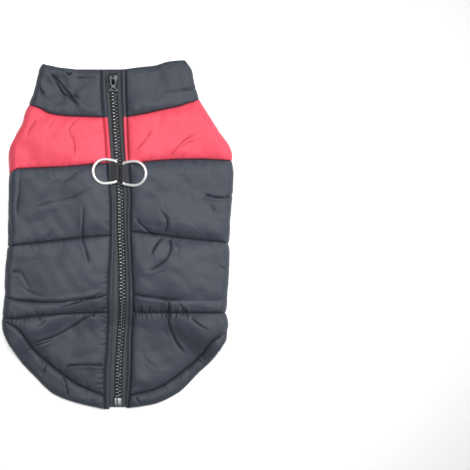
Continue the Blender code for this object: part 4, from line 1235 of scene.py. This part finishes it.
def ribbon(name, offsets, levels, ends, swell=0.0, shadeAt=None):
    # A band along the zip line; offsets run across it.
    y = np.linspace(*ends, int(abs(ends[0] - ends[1]) / zipper["ribbonStep"]) + 1)[:, None]
    offsets = np.array(offsets)[None, :]
    low, top = (liftAt(0.0, y) + level for level in levels)
    rise = swell * (1 - ((offsets - offsets.mean()) * 2 / np.ptp(offsets)) ** 2)
    x = zipLine(y) + offsets
    shade = shadeAt(offsets, y) if shadeAt else np.zeros(x.shape)
    return addWall(name, stacked(x, y, top + rise), stacked(x, y, low), stacked(offsets, y), shade)


def tapeShade(offsets, y):
    # Painted shade: darkest under the teeth, with a painted shadow of the cloth beside its folded edge.
    side = np.sign(offsets.sum())
    fromEdge = stitchOffset[side](y) - stripWidth[side](y) - np.abs(offsets)
    return np.clip(4.6 - np.abs(offsets), 0, 1) + 0.6 * bell(np.maximum(fromEdge, 0), 0.9)


for sideName, side in sides.items():
    offsets = sorted(side * np.linspace(zipper["tapeInner"], zipper["tapeOuter"], 19))
    item = ribbon(f"zipTape.{sideName}", offsets, zipper["tapeLevel"], zipper["tapeEnds"],
                  zipper["tapeSwell"], tapeShade)
    finishSheet(item, "tape", "tape", f"zip_tape_{sideName}")
facingOffsets = np.linspace(-zipper["facingHalf"], zipper["facingHalf"], 25)
facing = ribbon("zipFacing", facingOffsets, zipper["facingLevel"], zipper["facingEnds"])
finishSheet(facing, "dark_nylon", "darkNylon", "zip_facing")


def alongPathTree(name, material):
    # Geometry nodes: copies of a piece at even steps along a path, turned to follow it.
    tree = bpy.data.node_groups.new(name, "GeometryNodeTree")
    for label, kind in (("Path", "Geometry"), ("Piece", "Object"), ("Spacing", "Float")):
        tree.interface.new_socket(label, in_out="INPUT", socket_type="NodeSocket" + kind)
    tree.interface.new_socket("Geometry", in_out="OUTPUT", socket_type="NodeSocketGeometry")
    nodes = NodeTree(tree)
    given, copied, spacing, _ = (Signal(nodes, socket) for socket in tree.nodes.new("NodeGroupInput").outputs)
    path = nodes.add("GeometryNodeMeshToCurve", mesh=given)
    even = nodes.add("GeometryNodeResampleCurve", {"mode": "LENGTH"}, curve=path, length=spacing)
    points = nodes.add("GeometryNodeCurveToPoints", {"mode": "EVALUATED"}, curve=even)
    tangent = Signal(nodes, points.socket.node.outputs["Tangent"])
    turned = nodes.add("FunctionNodeAlignRotationToVector", {"axis": "Y"}, vector=tangent)
    piece = nodes.add("GeometryNodeObjectInfo", output="Geometry", object=copied)
    copies = nodes.add("GeometryNodeInstanceOnPoints", points=points, instance=piece, rotation=turned)
    real = nodes.add("GeometryNodeRealizeInstances", geometry=copies)
    painted = nodes.add("GeometryNodeSetMaterial", geometry=real, material=material)
    nodes.tree.links.new(painted.socket, tree.nodes.new("NodeGroupOutput").inputs[0])
    return tree


def copiesAlong(name, paths, piece, spacing, material):
    # One plain mesh of the copies along all paths.
    points = np.concatenate(paths) * mm
    ends = np.cumsum([len(path) for path in paths])
    edges = [(k, k + 1) for k in range(len(points) - 1) if k + 1 not in ends]
    mesh = bpy.data.meshes.new(name)
    mesh.from_pydata(points.tolist(), edges, [])
    item = bpy.data.objects.new(name, mesh)
    bpy.context.collection.objects.link(item)
    modifier = item.modifiers.new("alongPath", "NODES")
    modifier.node_group = alongPathTree(name + "Tree", material)
    sockets = {s.name: s.identifier for s in modifier.node_group.interface.items_tree if s.in_out == "INPUT"}
    modifier[sockets["Piece"]] = piece
    modifier[sockets["Spacing"]] = spacing * mm
    item.data = bpy.data.meshes.new_from_object(item.evaluated_get(bpy.context.evaluated_depsgraph_get()))
    item.modifiers.clear()
    bpy.data.objects.remove(piece)
    return item


def joinMeshes(name, *items):
    # One piece from several, at the origin.
    joined = bmesh.new()
    for item in items:
        joined.from_mesh(item.data)
        bpy.data.objects.remove(item)
    mesh = bpy.data.meshes.new(name)
    joined.to_mesh(mesh)
    joined.free()
    mesh.shade_smooth()
    mesh.set_sharp_from_angle(angle=math.radians(45))
    item = bpy.data.objects.new(name, mesh)
    bpy.context.collection.objects.link(item)
    return item


def makeTooth(side):
    # One moulded tooth: its foot on the tape, a raised back, and a lower head that reaches past the middle.
    reach, half, top = np.array(zipper["tooth"]).T[..., None]
    foot = zipper["toothFoot"]
    centres = stacked(side * reach, 0.0, (foot + top) / 2)
    wide, high = half / zipper["toothFlat"], (top - foot) / 2 / zipper["toothFlat"]
    return addTube("tooth", centres, forward, up, wide, high, 8, turn=np.pi / 8, sharpAngle=75)


def makeTeeth():
    # Each row has a whole number of teeth, so that the two stay half a step apart.
    high, low = zipper["chainEnds"]
    pitch = zipper["pitch"]
    count = int((high - low - zipper["chainSpare"]) / pitch)
    rows = []
    for side, shift in ((-1, 0.0), (1, 0.5)):
        y = np.linspace(0, count * pitch, 2 * count + 1) + low + zipper["chainFoot"] + shift * pitch
        path = stacked(zipLine(y), y, liftAt(0.0, y) + zipper["chainLevel"])
        rows.append(copiesAlong("teethRow", [path], makeTooth(side), pitch, finishes["teeth"]))
    return joinMeshes("zipTeeth", *rows)


finishPiece(makeTeeth(), "coat", "zip_teeth", finishes["teeth"], "zip_chain")


def makeBlock(name, widths, low, high, crown):
    # A cast block across the zip: its widths along y, with rounded ends and a slightly crowned top.
    start, end = widths[0][0], widths[-1][0]
    middle = (start + end) / 2
    t = (1 - np.cos(np.linspace(0, np.pi, 26))) / 2
    rounding = np.sqrt(np.maximum(1 - np.abs(2 * t - 1) ** 8, 0.02))[:, None]
    y = mix(start, end, t)[:, None]
    wide = SmoothCurve(widths)(y) * (0.6 + 0.4 * rounding)
    height = (high - low) * (0.45 + 0.55 * rounding) + crown * (1 - (2 * t[:, None] - 1) ** 2)
    centres = stacked(zipLine(middle), y, liftAt(0.0, middle) + low + height / 2)
    return addTube(name, centres, right, up, wide, height / 2, 32, power=4.0)


bail = {
    "y": 156.2,
    "reach": 3.25,            # from its middle to each foot
    "rise": 3.45,
    "foot": 0.9,              # how far it reaches into the slider
    "halfWidth": 1.15,
    "halfThick": 0.52,
    "past": 0.25,             # how far it turns on past each foot, in radians
    "flatness": 0.6,          # of its arch, where 1 is round
}


def makeSlider():
    # The cast body, its plate under the chain, and the arched bail that holds the pull.
    plate = zipper["plateLevel"]
    body = makeBlock("sliderBody", zipper["sliderWidths"], plate, zipper["sliderTop"] - 0.5, 0.5)
    lowPlate = makeBlock("sliderLow", zipper["lowWidths"], 0.4, plate + 0.3, 0.0)
    angle = np.linspace(-bail["past"], math.pi + bail["past"], 26)
    rise = np.maximum(np.sin(angle), 0)
    y = bail["y"] - bail["reach"] * np.cos(angle)
    base = liftAt(0.0, bail["y"]) + zipper["sliderTop"]
    z = base + bail["rise"] * rise ** bail["flatness"]
    z -= bail["foot"] * np.maximum(-np.sin(angle), 0) / bail["past"]
    outward = unit(stacked(0.0, -np.cos(angle), rise + 1e-6))
    centres = stacked(zipLine(zipper["pullAxisY"]), y, z)
    arch = addTube("sliderBail", centres, right, outward, bail["halfWidth"], bail["halfThick"], 14,
                   2 / bail["flatness"])
    return joinMeshes("zipSlider", body, lowPlate, arch)


pull = {
    "level": 5.0,             # of its axis, above the upper layer's inner face
    "halfThick": 0.62,
    "edge": 0.24,
    "widths": [(-0.8, 2.7), (0.2, 3.3), (4.6, 3.2), (6.9, 2.15), (8.4, 2.9), (10.9, 4.5), (12.0, 4.55)],
    "eye": (0.8, 5.3, 1.65),  # from, to, half width
    "slot": [(10.9, 2.9), (10.9, -2.9), (9.9, -2.5), (9.2, -1.3), (9.0, 0.0), (9.2, 1.3), (9.9, 2.5)],
}


def roundedLoop(points, radius, steps=4):
    # The same outline with its corners rounded.
    made = []
    count = len(points)
    for k in range(count):
        before, corner, after = (np.array(points[(k + j) % count], float) for j in (-1, 0, 1))
        start = corner + (before - corner) * min(radius / np.linalg.norm(before - corner), 0.45)
        end = corner + (after - corner) * min(radius / np.linalg.norm(after - corner), 0.45)
        for t in np.linspace(0, 1, steps):
            made.append(start * (1 - t) ** 2 + 2 * corner * t * (1 - t) + end * t ** 2)
    return made


def makePull():
    # A flat tab with an eye round the bail and an arched slot near its end.
    axisY = zipper["pullAxisY"]
    centreX = float(zipLine(axisY))
    level = float(liftAt(0.0, axisY)) + pull["level"]
    width = SmoothCurve(pull["widths"])
    distances = np.linspace(pull["widths"][0][0], pull["widths"][-1][0], 26)
    side = [(d, float(width(d))) for d in distances]
    near, far, half = pull["eye"]
    loops = [
        side + [(d, -x) for d, x in reversed(side)],
        roundedLoop([(near, half), (far, half), (far, -half), (near, -half)], 0.8),
        roundedLoop(pull["slot"], 0.5, 3),
    ]
    shape = bmesh.new()
    edges = []
    top = level + pull["halfThick"]
    for loop in loops:
        corners = [shape.verts.new(Vector((centreX + x, axisY - d, top)) * mm) for d, x in loop]
        edges += [shape.edges.new((a, b)) for a, b in zip(corners, corners[1:] + corners[:1])]
    bmesh.ops.triangle_fill(shape, use_beauty=True, edges=edges)
    under = bmesh.ops.extrude_face_region(shape, geom=shape.faces[:])
    lowered = [part for part in under["geom"] if isinstance(part, bmesh.types.BMVert)]
    bmesh.ops.translate(shape, verts=lowered, vec=(0, 0, -2 * pull["halfThick"] * mm))
    bmesh.ops.recalc_face_normals(shape, faces=shape.faces)
    mesh = bpy.data.meshes.new("zipPull")
    shape.to_mesh(mesh)
    shape.free()
    item = bpy.data.objects.new("zipPull", mesh)
    bpy.context.collection.objects.link(item)
    bevel = item.modifiers.new("bevel", "BEVEL")
    bevel.width, bevel.segments, bevel.limit_method = pull["edge"] * mm, 3, "ANGLE"
    bevel.angle_limit = math.radians(60)
    item.data = bpy.data.meshes.new_from_object(item.evaluated_get(bpy.context.evaluated_depsgraph_get()))
    item.modifiers.clear()
    item.data.shade_smooth()
    item.data.set_sharp_from_angle(angle=math.radians(30))
    return item


finishPiece(makeSlider(), "coat", "zip_metal", finishes["zipMetal"], "zip_slider")
finishPiece(makePull(), "zip_pull", "zip_metal", finishes["zipMetal"], "zip_pull")

box = {
    "widths": [(-163.2, 3.4), (-164.2, 3.8), (-170.8, 3.8), (-171.8, 3.4)],
    "levels": (0.4, 2.9),
    "ribs": [(-2.75, 1.05), (1.0, 2.35)],    # place across and half width of each
    "ribAt": (-163.0, -167.5, -172.0),
    "ribLevels": (0.6, 4.2),
    "ribCrown": 0.2,
}
boxParts = [makeBlock("boxBody", box["widths"], *box["levels"], 0.0)]
for shift, half in box["ribs"]:
    rib = makeBlock("boxRib", [(y, half) for y in box["ribAt"]], *box["ribLevels"], box["ribCrown"])
    rib.data.transform(Matrix.Translation((shift * mm, 0, 0)))
    boxParts.append(rib)
finishPiece(joinMeshes("zipBox", *boxParts), "coat", "zip_metal", finishes["boxMetal"], "zip_box")
print("zip made")


# Stitching

stitching = {
    "spacing": 3.2,
    "above": 0.1,             # over the bottom of its groove
    "bellyDepth": 4.4,
    "facingOffset": 9.2,
    "radius": 0.24,
    "half": 1.15,             # half the length of one stitch
}


def makeStitch():
    # One short raised stitch, pointed along Y.
    t = np.array([-1.0, -0.75, 0.0, 0.75, 1.0])
    radius = stitching["radius"] * np.sqrt(1.02 - t * t)[:, None]
    return addTube("stitch", stacked(0.0, stitching["half"] * t, 0.0), right, up, radius, radius, 6)


def stitchRow(name, side, column, y):
    # Points along a row of stitching in the groove of a panel.
    column, y = np.broadcast_arrays(np.reshape(column, (-1, 1)), np.reshape(y, (-1, 1)))
    outer = panelDepths(name, side, column, y)[0]
    return clothPoint(side, column, y, outer - stitching["above"])[:, 0]


def makeStitches(name, paths, finish, slot):
    item = copiesAlong(name, paths, makeStitch(), stitching["spacing"], finishes[finish])
    item.data.shade_smooth()
    finishPiece(item, "coat", slot, finishes[finish])


def zipStitchRow(name, side, upper, lower):
    y = np.linspace(seamHeight(upper, side, 0.0) - 1, seamHeight(lower, side, 0.0) + 1, 60)
    return stitchRow(name, side, 0.0, y)


darkRows = []
for side in (-1, 1):
    darkRows.append(zipStitchRow("collar", side, "collarTop", "collarSeam"))
    darkRows.append(zipStitchRow("back", side, "yokeSeam", "hemSeam"))
    darkRows.append(zipStitchRow("hem", side, "hemSeam", "hemEdge"))
    for seam in ("quiltOne", "quiltTwo"):
        column = np.linspace(0.03, 2.97, 220)
        darkRows.append(stitchRow("back", side, column, seamHeight(seam, side, column)))
    y = np.linspace(*zipper["facingEnds"], 100)
    z = np.maximum(liftAt(0.0, y) + zipper["facingLevel"][0], 0.3)
    darkRows.append(stacked(zipLine(y) + side * stitching["facingOffset"], y, z))
x = np.linspace(1 - coat["sideSeamX"], coat["sideSeamX"] - 1, 80)
darkRows.append(stacked(x, seamHeights["quiltOne"][0][-1], stitching["bellyDepth"]))
makeStitches("darkStitches", darkRows, "thread", "dark_nylon")
redRows = [zipStitchRow("yoke", side, "collarSeam", "yokeSeam") for side in (-1, 1)]
makeStitches("redStitches", redRows, "redThread", "red_nylon")
print("stitches made")


# D-rings on webbing loops

rings = {
    "bar": {"left": (-0.5, 63.2), "right": (6.5, 61.2)},   # x and y of each bar's middle
    "tilt": math.radians(12.0),
    "barLevel": 6.0,          # above the upper layer's inner face
    "wire": 1.5,
    "half": 12.0,
    "barHalf": 10.8,
    "arm": 11.3,
    "corner": 2.2,
    "webbing": 1.2,
    "webbingHalf": 9.0,
    "loopEnd": 9.4,           # from the zip line to the sewn end
    "clearance": 0.3,
    "loopLevel": 4.5,         # of the webbing where it is sewn down
}


def ringPlace(sideName, outward, along, upward):
    # A place from the bar's middle, on the ring's tilted plane.
    barX, barY = rings["bar"][sideName]
    out = outward * math.cos(rings["tilt"]) - upward * math.sin(rings["tilt"])
    rise = outward * math.sin(rings["tilt"]) + upward * math.cos(rings["tilt"])
    return stacked(barX + sides[sideName] * out, barY + along, liftAt(0.0, barY) + rings["barLevel"] + rise)


def makeRing(sideName):
    # A straight bar with rounded corners, two arms and a round bow.
    half, corner = rings["half"], rings["corner"]
    straight = rings["barHalf"] - corner
    quarter = np.linspace(0, np.pi / 2, 10)
    upper = [(corner * (1 - math.cos(a)), straight + corner * math.sin(a)) for a in quarter]
    for t in np.linspace(0, 1, 12)[1:-1]:
        upper.append((mix(corner, rings["arm"], t), mix(rings["barHalf"], half, math.sin(t * math.pi / 2))))
    bow = np.linspace(0, np.pi, 60)
    places = upper + [(rings["arm"] + half * math.sin(a), half * math.cos(a)) for a in bow]
    places += [(out, -along) for out, along in reversed(upper)]
    places += [(0.0, y) for y in np.linspace(-straight, straight, 10)[1:-1]]
    path = ringPlace(sideName, *np.array(places).T, 0.0)
    normal = ringPlace(sideName, 0.0, 0.0, 1.0) - ringPlace(sideName, 0.0, 0.0, 0.0)
    along = unit(np.roll(path, -1, axis=0) - np.roll(path, 1, axis=0))
    across = np.cross(along, normal)
    return addTube(f"dRing.{sideName}", path, across, normal, rings["wire"], rings["wire"], closed=True,
                   sharpAngle=80)


def makeLoop(sideName):
    # Webbing that comes up from its stitching, round the bar and back onto itself.
    side = sides[sideName]
    barX, barY = rings["bar"][sideName]
    level = float(liftAt(0.0, barY))
    barZ = level + rings["barLevel"]
    thick = rings["webbing"]
    turn = rings["wire"] + rings["clearance"] + thick / 2
    end = side * float(zipLine(barY)) + rings["loopEnd"]
    low = level + rings["loopLevel"]
    bar = side * barX
    angles = np.radians(np.linspace(262, 98, 20))
    arc = [(bar + turn * math.cos(a), barZ + turn * math.sin(a)) for a in angles]
    middle = [(end - 0.2, low + thick / 2), (end - 2.0, low + thick / 2 - 0.05)] + arc
    middle += [(end - 2.0, low + thick * 1.5 + 0.15), (end - 0.2, low + thick * 1.5)]
    middle = roundPath(middle, 4)
    across = np.linspace(-1, 1, 19)
    rounded = np.sqrt(np.clip(1 - np.abs(across) ** 10, 0.1, 1))
    beyond = np.vstack([middle[:1], middle, middle[-1:]])
    direction = unit(beyond[2:] - beyond[:-2])
    y = barY + rings["webbingHalf"] * across
    faces = []
    for s in (1, -1):
        x = side * (middle[:, :1] - direction[:, 1:] * s * thick / 2 * rounded)
        z = middle[:, 1:] + direction[:, :1] * s * thick / 2 * rounded
        faces.append(stacked(x, y, z))
    passed = np.concatenate([[0], np.cumsum(np.linalg.norm(np.diff(middle, axis=0), axis=1))])
    place = stacked(rings["webbingHalf"] * across, passed[:, None])
    return addWall(f"webbingLoop.{sideName}", *faces, place, np.zeros(place.shape[:2]))


for sideName in sides:
    finishSheet(makeLoop(sideName), "webbing", "webbing", f"ring_loop_{sideName}")
    ringNode = f"d_ring_{sideName}"
    finishPiece(makeRing(sideName), ringNode, "ring_metal", finishes["ringMetal"], ringNode)
print("rings made")


# Floor, lights and camera

studio = {
    "floorHalf": 6.0,
    "frameWidth": 0.470,      # what the picture shows at the coat
    "middle": (0.1181, -0.00025),
    "cameraHeight": 2.4,
    "coatHeight": 0.012,
    "sensor": 36.0,
    "floorLight": 0.45,
    "worldLight": 0.1,
    "lights": {               # where each is, what it faces, its size, its power and its spread in degrees
        "overhead": ((0.06, 0.35, 1.6), (0.012, 0.012, 0.0), 0.6, 0.98, 34.0),
        "side": ((1.1, 0.3, 1.0), (0.02, 0.0, 0.0), 0.6, 0.75, 40.0),
    },
}


def addLight(name, place, target, size, power, spread):
    lamp = bpy.data.lights.new(name, "AREA")
    lamp.shape, lamp.size, lamp.energy, lamp.spread = "DISK", size, power, math.radians(spread)
    item = bpy.data.objects.new(name, lamp)
    item.location = place
    item.rotation_euler = (Vector(target) - Vector(place)).to_track_quat("-Z", "Y").to_euler()
    bpy.context.collection.objects.link(item)


half = studio["floorHalf"]
floor = addMesh("floor", np.array([(-half, -half, 0), (half, -half, 0), (half, half, 0), (-half, half, 0)]),
                [[0, 1, 2, 3]])
paleFloor = Finish("paleFloor", baseColor=(0.85, 0.85, 0.85), roughness=0.9, specularIorLevel=0.0,
                   emissionColor=(1.0, 1.0, 1.0), emissionStrength=studio["floorLight"])
floor.data.materials.append(paleFloor.material)
world = bpy.data.worlds.new("studio")
world.use_nodes = True
world.node_tree.nodes["Background"].inputs["Color"].default_value = (1.0, 1.0, 1.0, 1.0)
world.node_tree.nodes["Background"].inputs["Strength"].default_value = studio["worldLight"]
bpy.context.scene.world = world
for name, values in studio["lights"].items():
    addLight(name, *values)

camera = bpy.data.cameras.new("camera")
camera.sensor_width = studio["sensor"]
camera.lens = studio["sensor"] * (studio["cameraHeight"] - studio["coatHeight"]) / studio["frameWidth"]
viewer = bpy.data.objects.new("camera", camera)
viewer.location = (*studio["middle"], studio["cameraHeight"])
bpy.context.collection.objects.link(viewer)
bpy.context.scene.camera = viewer
bpy.context.scene.view_settings.view_transform = "Standard"
print("studio set")
